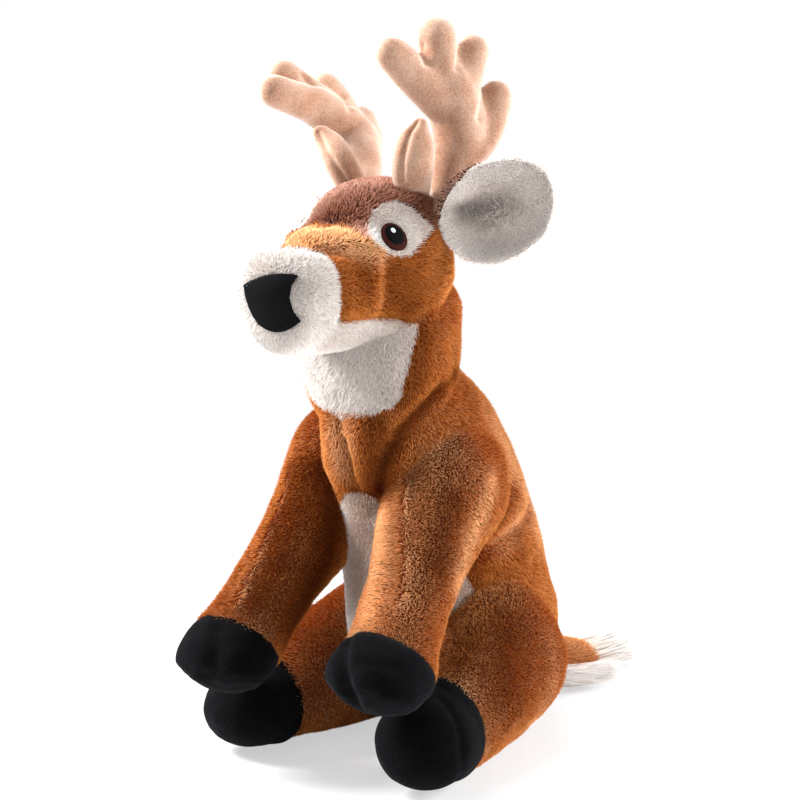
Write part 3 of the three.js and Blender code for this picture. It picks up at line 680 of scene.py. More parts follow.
torso_shape = bmesh.new()
torso_lean = [(0, 0), (0.23, 0.14), (0.44, 0.25), (0.7, 0.52), (0.88, 0.82), (1, 1)]
torso_line = [(0, -80 * lean, 216 * rise) for rise, lean in torso_lean]
torso_rows = [
    (0, 0.94, 0.9), (0.12, 1, 0.96), (0.22, 1.02, 1), (0.4, 0.97, 0.97), (0.55, 0.94, 0.91),
    (0.68, 0.9, 0.84), (0.8, 0.88, 0.74), (1, 0.66, 0.5),
]
stuff_along(torso_shape, torso_line, (1, 0, 0), 54, 70, torso_rows, start_rounding=54, inset=pile_depth)
torso = sewn_skin("torso_plush", torso_shape)
let_out(torso, (14, -104, 166), (10, -106, 184), 3.5, 14)
let_out(torso, (30, 52, 40), (30, 56, 66), 7.0, 19)
torso_creases = [
    ([(330, 432), (334, 455), (341, 480)], -1.8, 8),
    ([(362, 435), (366, 460), (368, 485)], -1.8, 8),
    ([(341, 420), (345, 445), (350, 468), (354, 488)], 3.2, 3.2),
    ([(349, 440), (355, 465), (361, 490)], 1.6, 2.6),
    ([(460, 365), (440, 385), (423, 404), (410, 418), (397, 431),
      (388, 448), (382, 465), (377, 490), (375, 506)], 4.0, 5),
    ([(512, 485), (500, 503), (490, 520), (481, 532)], 4.0, 5),
    ([(527, 512), (517, 526), (505, 536), (490, 545), (474, 550)], 3.2, 4.5),
    ([(470, 594), (490, 588), (512, 588), (524, 591)], 4.0, 5),
]
for row in torso_creases:
    crease(torso, *row)
torso_belly = [
    (356, 489), (374, 497), (400, 515), (440, 545), (464, 572), (474, 590), (468, 640), (440, 720),
    (300, 760), (280, 560), (335, 500),
]
belly = np.where(places_of(torso.data)[:, 1] < 0, both_sides(torso, torso_belly), nowhere)
mark(torso, "belly", belly)
mark(torso, "brown", -belly)
mark(torso, "nap", along_skin(normals_of(torso.data), (0, 0, -1)))
mark(
    torso, "height",
    np.where(belly > 0, 0.95, 1.0) * (1 - 0.6 * np.clip(-normals_of(torso.data)[:, 2], 0, 1)),
)
# Painted light on the torso's pile: painted highlight where the lamps catch the chest and the flank, painted
# shade in its creases and on its shaded side.
torso_painted_light = [
    ([(318, 428), (324, 450), (332, 478)], 9, 1.0),
    ([(336, 430), (341, 455), (349, 482)], 7, 0.5),
    ([(352, 425), (358, 450), (366, 488)], 5, 0.25),
    ([(378, 430), (374, 460), (370, 490)], 9, -0.55),
    ([(425, 405), (404, 430), (390, 455), (382, 488)], 4, -0.5),
    ([(538, 500), (548, 560), (556, 610)], 10, -0.25),
    ([(420, 380), (400, 410)], 9, -0.3),
    ([(492, 425), (507, 455), (522, 490), (535, 530)], 12, 0.45),
    ([(500, 560), (520, 560)], 12, -0.1),
    ([(515, 520), (500, 545)], 7, 0.45),
    ([(362, 505), (362, 540), (358, 590), (462, 590)], 16, -0.75),
]
for row in torso_painted_light:
    paint_light_along(torso, *row)
backed(
    torso, "torso", "plush_brown", knit_backing("torso_knit", [("", "7A3810"), ("belly", "EAE2DC")]), 0.8,
    "torso_skin", "torso_filling",
)

# Neck
# A short stuffed column sewn into the torso, brown behind and white at the throat.
# The throat's pile hangs in a ragged edge over the chest.
neck_shape = bmesh.new()
stuff_along(
    neck_shape, [(0, -71, 184), (0, -75.5, 218), (0, -83, 282)], (1, 0, 0), 43, 43,
    [(0, 0.93, 0.86), (0.35, 0.97, 0.97), (0.55, 1, 1), (1, 1, 1)], end_rounding=43, inset=pile_depth,
)
neck = sewn_skin("neck_plush", neck_shape)
let_out(neck, (33, -52, 264), (30, -46, 256), 4, 13)
let_out(neck, (36, -98, 204), (32, -104, 232), 4, 16, sides=(-1,))
neck_creases = [
    ([(416, 330), (412, 350), (405, 372), (400, 398)], 0.8, 3),
    ([(462, 325), (450, 350), (452, 372)], 1.5, 6),
    ([(462, 366), (440, 385), (423, 404), (410, 418), (397, 431)], 3.0, 4),
]
for row in neck_creases:
    crease(neck, *row)
neck_throat = [
    (250, 330), (418, 322), (413, 345), (406, 372), (401, 396), (394, 405), (375, 413), (350, 420),
    (330, 421), (250, 421),
]
throat = np.where(places_of(neck.data)[:, 1] < -80 * mm, both_sides(neck, neck_throat), nowhere)
neck_pile_goes_in = 12
hidden = buried(places_of(neck.data), torso) - neck_pile_goes_in
mark(neck, "throat", np.minimum(throat, -hidden))
mark(neck, "brown", np.minimum(-throat, -hidden))
mark(neck, "nap", along_skin(normals_of(neck.data), (0, 0, -1)))
mark(
    neck, "height",
    np.where(throat > 0, 1.1, 0.95) - np.where(throat > 0, 0.2, 0.6) * eased_step(-20, -10, hidden),
)
# Painted light on the neck's pile: painted highlight on its back edge, painted shade in its creases and on
# the shaded side of the throat.
neck_painted_light = [
    ([(455, 300), (460, 340), (458, 360)], 8, 0.15),
    ([(422, 335), (418, 370), (410, 395)], 8, -0.3),
    ([(455, 372), (440, 385), (423, 404), (410, 418), (397, 431)], 4, -0.5),
    ([(395, 350), (385, 390)], 12, -0.15),
]
for row in neck_painted_light:
    paint_light_along(neck, *row)
backed(
    neck, "neck", "plush_brown", knit_backing("neck_knit", [("", "7A3810"), ("throat", "EAE2DC")]), 0.8,
    "neck_skin", "neck_filling",
)
neck_pile = pile("neck_pile", neck, short_strand, 1.9, brown_pile, where="brown", seed=21)
throat_pile = pile(
    "throat_pile", neck, short_strand, 2.1, white_pile, where="throat", clump=0.8, lay=0.7, seed=22,
)
worn(neck_pile, "neck", "plush_brown")
worn(throat_pile, "neck", "plush_white", "throat_panel")

# Head
# One stuffed skin of several panels: brown face, dark brown crown, white muzzle and eye patches.
# Each panel is sewn to the next with its pile brushed over the seam.
head_shape = bmesh.new()
head_drop = [(0, 0.02), (0.16, 0.04), (0.34, -0.05), (0.52, -0.75), (0.7, -1.05), (1, -1)]
head_line = [(0, -40 - 138 * along, 279 + 20 * drop) for along, drop in head_drop]
head_rows = [
    (0, 0.94, 0.94), (0.18, 0.98, 0.98), (0.34, 1, 1.02), (0.48, 0.9, 0.92), (0.6, 0.74, 0.76),
    (0.76, 0.66, 0.65), (0.9, 0.65, 0.62), (1, 0.6, 0.58),
]
stuff_along(
    head_shape, head_line, (1, 0, 0), 41, 42, head_rows, start_rounding=40, end_rounding=15,
    inset=pile_depth, rings=34,
)
head = sewn_skin("head_plush", head_shape, knit=2.7, evening=6, lumpiness=1.5)
bridge_let_out = 5.5
swell(head, lambda at: (
    eased_step(-98, -122, at[:, 1]) * eased_step(252, 272, at[:, 2]) * eased_step(300, 285, at[:, 2])
    * bridge_let_out
))
let_out(head, (30, -102, 241), (37, -86, 243), 7, 15)
let_out(head, (38, -78, 254), (38, -66, 263), 5.5, 14)
head_creases = [
    ([(418, 200), (430, 211)], -3.5, 8, True),
    ([(290, 246), (312, 241), (332, 237), (350, 240), (362, 245)], -2.4, 7, True),
    ([(282, 250), (303, 251), (322, 253), (342, 254), (358, 252), (374, 248)], 2.6, 3, True),
    ([(304, 233), (320, 227), (338, 225), (352, 231), (364, 240)], 1.2, 3, True),
    ([(302, 226), (296, 231), (288, 237)], 2.4, 7),
    ([(376, 258), (375, 275), (372, 295), (370, 312)], -1.2, 3.5, True),
    ([(386, 262), (385, 280), (383, 300)], 1.4, 4, True),
    ([(352, 262), (358, 285), (352, 308)], 0.8, 5, True),
    ([(350, 308), (385, 304), (412, 310)], -1.6, 8, True),
    ([(337, 321), (374, 318), (399, 319), (416, 326)], 2.0, 3, True),
    ([(459, 262), (454, 284), (447, 302), (440, 313), (430, 321), (418, 327)], 2.6, 3.5, True),
    ([(320, 252), (331, 264), (337, 277), (339, 298), (338, 320)], 0.9, 2.4, True),
]
for row in head_creases:
    crease(head, *row)
head_places = places_of(head.data)
muzzle_outline = [
    (150, 240), (273, 249), (300, 250), (319, 252), (330, 264), (336, 276), (338, 298), (337, 321),
    (344, 321), (374, 318), (399, 319), (416, 327), (414, 345), (405, 352), (395, 362), (380, 420),
    (150, 420),
]
patch_outline = [
    (367, 235), (367, 222), (372, 211), (381, 204), (395, 202), (409, 207), (420, 216), (432, 229),
    (426, 236), (417, 247), (409, 256), (402, 257), (393, 256), (384, 251), (374, 244),
]
crown_outline = [
    (200, 248), (290, 240), (304, 233), (318, 227), (332, 224.5), (343, 225.5), (354, 232), (363, 239),
    (368, 238), (380, 225), (420, 225), (433, 229), (447, 224), (520, 222), (520, 100), (200, 100),
]
eye_pixel = (393.6, 237.4)
eye_clearing = 7.6
head_tree = surface_of(head)
eye_place, eye_facing = head_tree.ray_cast(camera_place, photo_ray(eye_pixel))[:2]
from_eye = np.minimum(*[
    np.linalg.norm(head_places * [side, 1, 1] - np.array(eye_place), axis=1) for side in (1, -1)
]) / mm
muzzle = np.where(head_places[:, 1] < -85 * mm, both_sides(head, muzzle_outline), nowhere)
patch = np.where(
    (head_places[:, 1] < -80 * mm) & (np.abs(head_places[:, 0]) > 8 * mm), both_sides(head, patch_outline),
    nowhere,
)
crown = np.minimum(np.where(head_places[:, 2] > 270 * mm, both_sides(head, crown_outline), nowhere), -patch)
nose_left = [(247, 285), (248.5, 295), (251.5, 305), (256, 315), (261, 323)]
nose_right = [(298, 277), (292, 285), (290, 297), (293, 309), (301, 320)]
nose_outline = [*nose_left, (275, 330), *reversed(nose_right), (273, 275)]
under_nose = inside_outline(photo_pixels(head_places), nose_outline)
under_nose = np.where(head_places[:, 1] < -150 * mm, under_nose, nowhere)
mark(head, "muzzle", np.minimum(muzzle, 0.3 - under_nose))
mark(head, "patch", np.minimum(patch, from_eye - eye_clearing))
mark(head, "crown", crown)
mark(head, "face", -np.maximum(np.maximum(muzzle, patch), crown))
mark(head, "white", np.maximum(muzzle, patch))
mark(head, "nap", along_skin(normals_of(head.data), (0, 0.9, -0.45)))
mark(head, "height", np.where(patch > 0, 0.6, np.where(muzzle > 0, 0.85, np.where(crown > 0, 0.85, 0.8))))
# Painted light on the head's pile: painted highlight on the bridge, the crown and the cheek's ridges, painted
# shade on the cheek, along the jaw, round the eye patch and by the ear.
head_painted_light = [
    ([(285, 245), (305, 241), (325, 234), (345, 236), (358, 244)], 7.5, 1.1),
    ([(350, 262), (352, 285), (352, 305)], 5, 0.12),
    ([(378, 262), (378, 300)], 4, 0.15),
    ([(400, 275), (405, 305)], 13, -0.45),
    ([(355, 270), (350, 300)], 10, -0.3),
    ([(330, 340), (370, 338), (400, 330)], 9, -0.3),
    ([(292, 240), (320, 232), (350, 238), (372, 248)], 9, 1.0),
    ([(372, 225), (385, 208), (412, 212), (424, 232)], 5, -0.25),
    ([(322, 205), (345, 190), (372, 184)], 10, 0.5),
    ([(330, 215), (352, 222)], 5, -0.2),
    ([(420, 195), (432, 215)], 10, -0.25),
    ([(440, 250), (452, 270)], 7, 0.3),
]
for row in head_painted_light:
    paint_light_along(head, *row)
head_knit = knit_backing("head_knit", [("", "7A3810"), ("white", "EAE2DC"), ("crown", "3C241B")])
backed(head, "head", "plush_brown", head_knit, 0.85, "face_panel", "head_filling")
# Its last two colours are painted highlight and painted shade.
crown_pile = plush_pile("crown_plush_pile", "4A2416", "925A42", "C8907A", "EEC2AE", "38180E")
head_piles = [
    ("face_pile", "face", brown_pile, "plush_brown", (), 1.3, 0.75),
    ("crown_pile", "crown", crown_pile, "plush_crown", ("crown_panel",), 1.3, 0.7),
    ("muzzle_pile", "muzzle", white_pile, "plush_white", ("muzzle_panel",), 0.7, 0.88),
    ("eye_patch_pile", "patch", white_pile, "plush_white", ("eye_patch_left", "eye_patch_right"), 0.6, 0.88),
]
for i, (name, where, finish, slot, stood_for, clump, soft) in enumerate(head_piles):
    piece = pile(
        name, head, short_strand, 2.5, finish, where=where, lay=0.7, clump=clump, soft=soft, seed=31 + i,
    )
    worn(piece, "head", slot, *stood_for)

# Eyes
# A brown ring, a black pupil and a white glint, each satin stitched over the patch.
# The far eye is set further back than the near one mirrored, so that it stays behind the brow.
def satin_stitch(name, thread):
    """Finish of satin stitch: close shiny threads side by side."""
    material, tree, shader = finish_named(name)
    where = add(tree, "ShaderNodeTexCoord").outputs["Object"]
    threads = add(
        tree, "ShaderNodeTexWave",
        {"Vector": where, "Scale": 1 / (2.2 * mm), "Distortion": 1.5, "Detail": 1.0}, wave_type="BANDS",
        bands_direction="Z",
    )
    raised = add(
        tree, "ShaderNodeBump", {"Strength": 0.5, "Distance": 0.25 * mm, "Height": threads.outputs["Fac"]},
    )
    join(tree, shader, {"Normal": raised})
    dark = add(tree, "ShaderNodeMapRange", {0: threads.outputs["Fac"], 1: 0.0, 2: 1.0, 3: 0.7, 4: 1.15})
    shaded = add(tree, "ShaderNodeHueSaturation", {"Value": dark, "Color": linear(thread)})
    join(tree, shader, {"Base Color": shaded, "Roughness": 0.6, "Specular IOR Level": 0.03})
    return material


def stitched_disc(name, centre, aim, right, radius, dome, lift, finish):
    """A flat dome of stitches: a disc with its middle raised. In mm."""
    shape = bmesh.new()
    bmesh.ops.create_uvsphere(shape, u_segments=40, v_segments=20, radius=1)
    in_order(shape)
    bmesh.ops.scale(shape, vec=(radius * mm, radius * mm, dome * mm), verts=shape.verts)
    up = aim.cross(right)
    place = Matrix((right, up, aim)).transposed().to_4x4()
    place.translation = centre + aim * lift * mm
    bmesh.ops.transform(shape, matrix=place, verts=shape.verts)
    mesh = meshed(name, shape)
    mesh.shade_smooth()
    mesh.materials.append(finish)
    return put_in_scene(name, mesh)


far_eye_back = 7.5
iris_finish = satin_stitch("brown_satin_stitch", "34140D")
pupil_finish = satin_stitch("black_satin_stitch", "030303")
glint_finish = satin_stitch("white_satin_stitch", "D3DBE0")
for name, side in (("left", 1), ("right", -1)):
    centre, aim = eye_place, eye_facing
    if side < 0:
        mirrored = Vector((-centre.x, centre.y + far_eye_back * mm, centre.z))
        centre, aim = head_tree.find_nearest(mirrored)[:2]
    right = Vector((0, 0, 1)).cross(aim).normalized()
    up = aim.cross(right)
    ring = stitched_disc(f"eye_ring_{name}", centre, aim, right, 8.2, 1.4, 0.6, iris_finish)
    pupil = stitched_disc(
        f"eye_black_{name}", centre + up * 0.6 * mm, aim, right, 6.1, 1.2, 1.3, pupil_finish,
    )
    glint = stitched_disc(
        f"eye_light_{name}", centre - right * side * 0.6 * mm + up * 2.9 * mm, aim, right, 1.5, 0.7, 2.2,
        glint_finish,
    )
    for piece, kind in ((ring, "iris"), (pupil, "pupil"), (glint, "glint")):
        worn(piece, "head", f"embroidery_{kind}", f"eye_{kind}_{name}")

# Nose
# A shield of fine black twill, appliqued over the front of the muzzle.
# It stands off the skin by its lift, so that it clears the pile beneath.
nose_lift = 2.3
nose_thickness = 1.6
nose_shape = bmesh.new()
bmesh.ops.create_grid(nose_shape, x_segments=30, y_segments=30, size=1)
for v in nose_shape.verts:
    across, down = (v.co.x + 1) / 2, (1 - v.co.y) / 2
    left = [np.interp(down * 4, range(5), [p[k] for p in nose_left]) for k in (0, 1)]
    right = [np.interp(down * 4, range(5), [p[k] for p in nose_right]) for k in (0, 1)]
    bow = (14 * down - 5) * 4 * across * (1 - across)
    pixel = (left[0] + (right[0] - left[0]) * across, left[1] + (right[1] - left[1]) * across + bow)
    hit = head_tree.ray_cast(camera_place, photo_ray(pixel))
    v.co = hit[0] + hit[1] * nose_lift * mm
bmesh.ops.recalc_face_normals(nose_shape, faces=nose_shape.faces)
bmesh.ops.solidify(nose_shape, geom=nose_shape.faces[:], thickness=nose_thickness * mm)
in_order(nose_shape)
nose_mesh = meshed("nose_applique", nose_shape)
nose_mesh.shade_smooth()
nose_piece = put_in_scene("nose_applique", nose_mesh)
nose_finish, nose_tree, nose_shader = finish_named("black_twill_knit")
where = add(nose_tree, "ShaderNodeTexCoord").outputs["Object"]
twill = add(
    nose_tree, "ShaderNodeTexWave", {"Vector": where, "Scale": 1 / (2.0 * mm), "Distortion": 0.6},
    wave_type="BANDS", bands_direction="DIAGONAL",
)
raised = add(
    nose_tree, "ShaderNodeBump", {"Strength": 0.5, "Distance": 0.2 * mm, "Height": twill.outputs["Fac"]},
)
join(nose_tree, nose_shader, {"Normal": raised})
thread_shade = add(nose_tree, "ShaderNodeMapRange", {0: twill.outputs["Fac"], 3: 0.6, 4: 1.3})
nose_colour = add(nose_tree, "ShaderNodeHueSaturation", {"Value": thread_shade, "Color": linear("08080A")})
join(nose_tree, nose_shader, {"Base Color": nose_colour, "Roughness": 0.8, "Specular IOR Level": 0.06})
nose_mesh.materials.append(nose_finish)
worn(nose_piece, "head", "embroidery_nose", "nose")

# Front legs
# Each is a tube of brown plush with a round shoulder, sewn to the chest, and a black hoof at its end.
# Its pile is parted along the seam down its front; the hoof is smooth black velour.
velour, velour_tree, velour_shader = finish_named("black_velour")
where = add(velour_tree, "ShaderNodeTexCoord").outputs["Object"]
nap_noise = add(velour_tree, "ShaderNodeTexNoise", {"Vector": where, "Scale": 1 / (1.3 * mm), "Detail": 3.0})
swirls = add(velour_tree, "ShaderNodeTexNoise", {"Vector": where, "Scale": 1 / (14 * mm), "Detail": 2.0})
velour_value = add(
    velour_tree, "ShaderNodeMapRange", {0: swirls.outputs["Fac"], 1: 0.3, 2: 0.7, 3: 0.6, 4: 1.4},
)
velour_colour = add(
    velour_tree, "ShaderNodeHueSaturation", {"Value": velour_value, "Color": linear("040405")},
)
join(velour_tree, velour_shader, {"Base Color": velour_colour})
raised = add(
    velour_tree, "ShaderNodeBump",
    {"Strength": 0.9, "Distance": 0.8 * mm, "Height": nap_noise.outputs["Fac"]},
)
join(velour_tree, velour_shader, {
    "Normal": raised, "Roughness": 0.9, "Specular IOR Level": 0.04, "Sheen Weight": 0.035,
    "Sheen Roughness": 0.5, "Sheen Tint": linear("B4B6C8"),
})
legs = []
pile_goes_in = 22


def cut_off(shape, place, aim, keep_end):
    """Cuts a closed shape across at a place and closes the cut."""
    bmesh.ops.bisect_plane(
        shape, geom=shape.verts[:] + shape.edges[:] + shape.faces[:], plane_co=place * mm, plane_no=aim,
        clear_inner=keep_end, clear_outer=not keep_end,
    )
    bmesh.ops.holes_fill(shape, edges=shape.edges[:], sides=0)


def leg_pieces(kind, name, skin, seam, aim, fullness, under, partings, creases, painted_light):
    """Covers a leg with pile and puts a puffed hoof over its end."""
    body = f"{kind}_leg_{name}"
    aim, seam = np.array(aim), np.array(seam)
    shape = bmesh.new()
    shape.from_mesh(skin.data)
    cut_off(shape, seam, aim, keep_end=True)
    mesh = bpy.data.meshes.new(f"{kind}_hoof_velour_{name}")
    shape.to_mesh(mesh)
    shape.clear()
    hoof = put_in_scene(mesh.name, mesh)
    shape.from_mesh(skin.data)
    cut_off(shape, seam + aim * 1.5, aim, keep_end=False)
    shape.to_mesh(skin.data)
    shape.free()
    skin.data.shade_smooth()
    places = places_of(mesh)
    depth = (places / mm - seam) @ aim
    out = normals_of(mesh)
    swollen = fullness * np.sqrt(np.clip(depth / 5, 0, 1))
    pressed = under * np.clip(-out[:, 2], 0, 1) * np.clip(depth / 14, 0, 1)
    puff = 0.4 + swollen - pressed
    places += out * (puff * mm)[:, None]
    places[:, 2] = np.maximum(places[:, 2], 0.3 * mm)
    move_to(mesh, places)
    for line, deep, wide in creases:
        crease(hoof, line, deep, wide)
    mesh.shade_smooth()
    backed(hoof, body, "plush_hoof", velour, 0.75, f"{kind}_hoof_{name}")
    places = places_of(skin.data)
    beyond = (places / mm - seam) @ aim
    hidden = buried(places, torso) - pile_goes_in
    mark(skin, "brown", np.minimum(1 - beyond, -hidden))
    mark(skin, "nap", along_skin(normals_of(skin.data), aim))
    mark(skin, "height", 1 - 0.4 * np.clip(-normals_of(skin.data)[:, 2], 0, 1))
    for line in partings:
        parted(skin, line, 5)
    # Lays painted highlight and painted shade on the leg's pile along the given lines.
    for line, reach, amount in painted_light:
        paint_light_along(skin, line, reach, amount)
    finish = knit_backing(f"{kind}_leg_knit_{name}", [("", "7A3810")])
    backed(skin, body, "plush_brown", finish, 0.75, body, f"{kind}_leg_filling_{name}")
    fur = pile(
        f"{kind}_leg_pile_{name}", skin, short_strand, 1.9, brown_pile, where="brown",
        seed=41 + len(legs) * 3,
    )
    worn(fur, body, "plush_brown")
    legs.append(skin)


front_rows = [
    (0, 0.86, 1), (0.21, 1, 0.98), (0.4, 0.87, 0.68), (0.6, 0.77, 0.53), (0.76, 0.76, 0.52),
    (0.86, 0.9, 0.58), (1, 0.9, 0.55),
]
front_legs = {
    "left": (
        (27, -56, 151), (31, -99, -80),
        [[(422, 420), (415, 450), (405, 480), (402, 515), (404, 560), (400, 600)]],
        [
            ([(344, 640), (341, 660), (344, 682), (352, 704)], 4.5, 4.5),
            ([(352, 668), (372, 664), (396, 668)], 1.0, 3),
        ],
    ),
    "right": (
        (-41, -56, 151), (-5, -99, -87),
        [[(290, 470), (276, 515), (262, 548), (246, 580), (236, 604)]],
        [
            ([(217, 628), (219, 648), (213, 668), (209, 684)], 2.2, 5),
            ([(180, 640), (190, 646)], 1.6, 4),
        ],
    ),
}
# Painted light on the front legs' pile: painted highlights along the lit edges, painted shade down the shaded
# sides.
leg_painted_light = {
    "left": [
        ([(386, 475), (384, 520), (382, 560), (375, 600), (365, 630)], 9, 1.0),
        ([(412, 440), (410, 480), (410, 530), (412, 580), (404, 615)], 6, 0.15),
        ([(452, 500), (446, 520), (440, 540), (434, 565)], 8, -0.25),
        ([(478, 420), (482, 450)], 10, 0.15),
        ([(440, 445), (456, 440), (462, 462)], 9, 0.2),
        ([(490, 480), (480, 515), (468, 540), (456, 580), (446, 620)], 7, 0.85),
    ],
    "right": [
        ([(283, 450), (262, 500), (245, 545), (222, 585), (206, 605)], 8, 0.55),
        ([(262, 560), (240, 590)], 5, 0.1),
        ([(300, 470), (290, 520), (280, 560), (262, 600)], 10, -0.35),
        ([(325, 470), (332, 510), (325, 560), (300, 610), (285, 640)], 10, -0.8),
    ],
}
for name, (root, run, partings, creases) in front_legs.items():
    root, run = Vector(root), Vector(run)
    aim = Vector((0, run.y, run.z)).normalized()
    end = root + run
    line = [root - aim * 44, root, root.lerp(end, 0.5), end, end + aim * 26]
    leg_shape = bmesh.new()
    stuff_along(
        leg_shape, line, (1, 0, 0), 33, 44, front_rows, start_rounding=44, end_rounding=19, inset=pile_depth,
        rings=32,
    )
    skin = sewn_skin(f"front_leg_plush_{name}", leg_shape)
    leg_pieces(
        "front", name, skin, end - aim * 12, aim, 2.4 if name == "left" else 1.2, 7, partings, creases,
        leg_painted_light[name],
    )

# Hind legs
# Each is a round thigh beside the seat and a short shank lying forward on the floor, with its hoof.
# They are covered like the front legs. The far thigh is pressed lower, as the photograph shows it.
far_thigh_height = 0.88
hind_rows = [
    (0, 1, 1), (0.24, 1, 1), (0.45, 0.96, 0.86), (0.62, 0.86, 0.7), (0.74, 0.76, 0.56), (0.84, 0.82, 0.555),
    (1, 0.82, 0.555),
]
hind_creases = {
    "left": [([(440, 698), (452, 713), (460, 733), (462, 757), (458, 780)], 1.6, 2.2)],
    "right": [([(285, 668), (298, 690), (300, 715), (293, 738)], 1.4, 2.2)],
}
# Painted light on the thighs' pile: painted highlights on the lit edges, painted shade where they turn from
# the lamps.
thigh_painted_light = {
    "left": [
        ([(500, 625), (510, 680)], 16, -0.25),
        ([(470, 640), (460, 665)], 8, -0.3),
        ([(550, 640), (553, 680), (535, 715)], 8, 0.3),
        ([(470, 690), (478, 720), (485, 745)], 6, 0.3),
    ],
    "right": [([(330, 640), (310, 690)], 12, -0.1)],
}
for name, side in (("left", 1), ("right", -1)):
    root = Vector((44 * side, -27, 48.5))
    hoof_at = Vector((root.x + 16 * side, root.y - 86, 26.9))
    knee = root.lerp(hoof_at, 0.5)
    knee.z = 48.5 * (1 - 35 / 86 / 2)
    aim = Vector((16 * side, -86, 0)).normalized()
    line = [root + Vector((0, 35, 0)), root, knee, hoof_at, hoof_at + aim * 30 + Vector((0, 0, 7))]
    leg_shape = bmesh.new()
    stuff_along(
        leg_shape, line, (1, 0, 0), 35, 49, hind_rows, start_rounding=35, end_rounding=22, inset=pile_depth,
        rings=32,
    )
    skin = sewn_skin(f"hind_leg_plush_{name}", leg_shape)
    if name == "right":
        move_to(skin.data, places_of(skin.data) * [1, 1, far_thigh_height])
    let_out(skin, (61, 14, 52), (66, -2, 46), 5, 22)
    let_out(skin, (66, -6, 6), (82, -60, 6), -6, 14)
    leg_pieces(
        "hind", name, skin, hoof_at - aim * 12, aim, 2.4, 3, [], hind_creases[name], thigh_painted_light[name],
    )

# Torso pile
# Brown strands in three bands and white ones on the belly.
# They are left off where the neck and the legs are sewn on.
hidden = buried(places_of(torso.data), neck, *legs) - pile_goes_in
torso_height = places_of(torso.data)[:, 2] / mm
mark(torso, "shown_belly", np.minimum(belly, -hidden))
for name, low, high in (("seat", -9, 88), ("back", 88, 158), ("chest", 158, 999)):
    shown = np.minimum(np.minimum(torso_height - low, high - torso_height), np.minimum(-belly, -hidden))
    mark(torso, f"shown_{name}", shown)
    worn(
        pile(f"{name}_pile", torso, short_strand, 1.9, brown_pile, where=f"shown_{name}", seed=11 + low),
        "torso", "plush_brown",
    )
belly_pile = pile(
    "belly_pile", torso, short_strand, 2.1, white_pile, where="shown_belly", clump=0.8, seed=12,
)
worn(belly_pile, "torso", "plush_white", "belly_panel")

# Ears
# Two layers of plush sewn round the edge and cupped: dark brown behind and white in front.
# Each is sewn to the crown at its root. The far one is flatter, lower and turned forward.
ear_heights = {"left": 300, "right": 286}
far_ear_cup = 0.4
far_ear_turn = [0.08, -0.17, 0]
far_ear_drop = 4
ear_outline = [
    (432, 214), (438, 198), (449, 180), (463, 170), (480, 163), (495, 160), (520, 159), (535, 164),
    (545, 172), (551, 184), (553, 200), (550, 218), (543, 234), (530, 246), (513, 256), (497, 262),
    (480, 262), (466, 259), (456, 252), (446, 240), (436, 228),
]
ear_sweep = math.radians(37)
ear_lift = math.radians(4)
ear_root = Vector((34, -75, 300)) * mm
ear_aim = Vector((math.cos(ear_sweep), math.sin(ear_sweep), math.tan(ear_lift))).normalized()
ear_front = ear_aim.cross(Vector((0, 0, 1))).normalized()
ear_up = ear_front.cross(ear_aim).normalized()


def on_ear(pixel):
    """Where a pixel meets the plane of the left ear, in mm along the ear and up it."""
    hit = on_plane(pixel, ear_root, ear_front) - ear_root
    return np.array([hit.dot(ear_aim), hit.dot(ear_up)]) / mm


ear_middle = on_ear((497, 212))
ear_rim = np.array([on_ear(pixel) - ear_middle for pixel in ear_outline])
rim_turn = np.arctan2(ear_rim[:, 1], ear_rim[:, 0])
rim_reach = np.hypot(ear_rim[:, 0], ear_rim[:, 1])
in_turn = np.argsort(rim_turn)
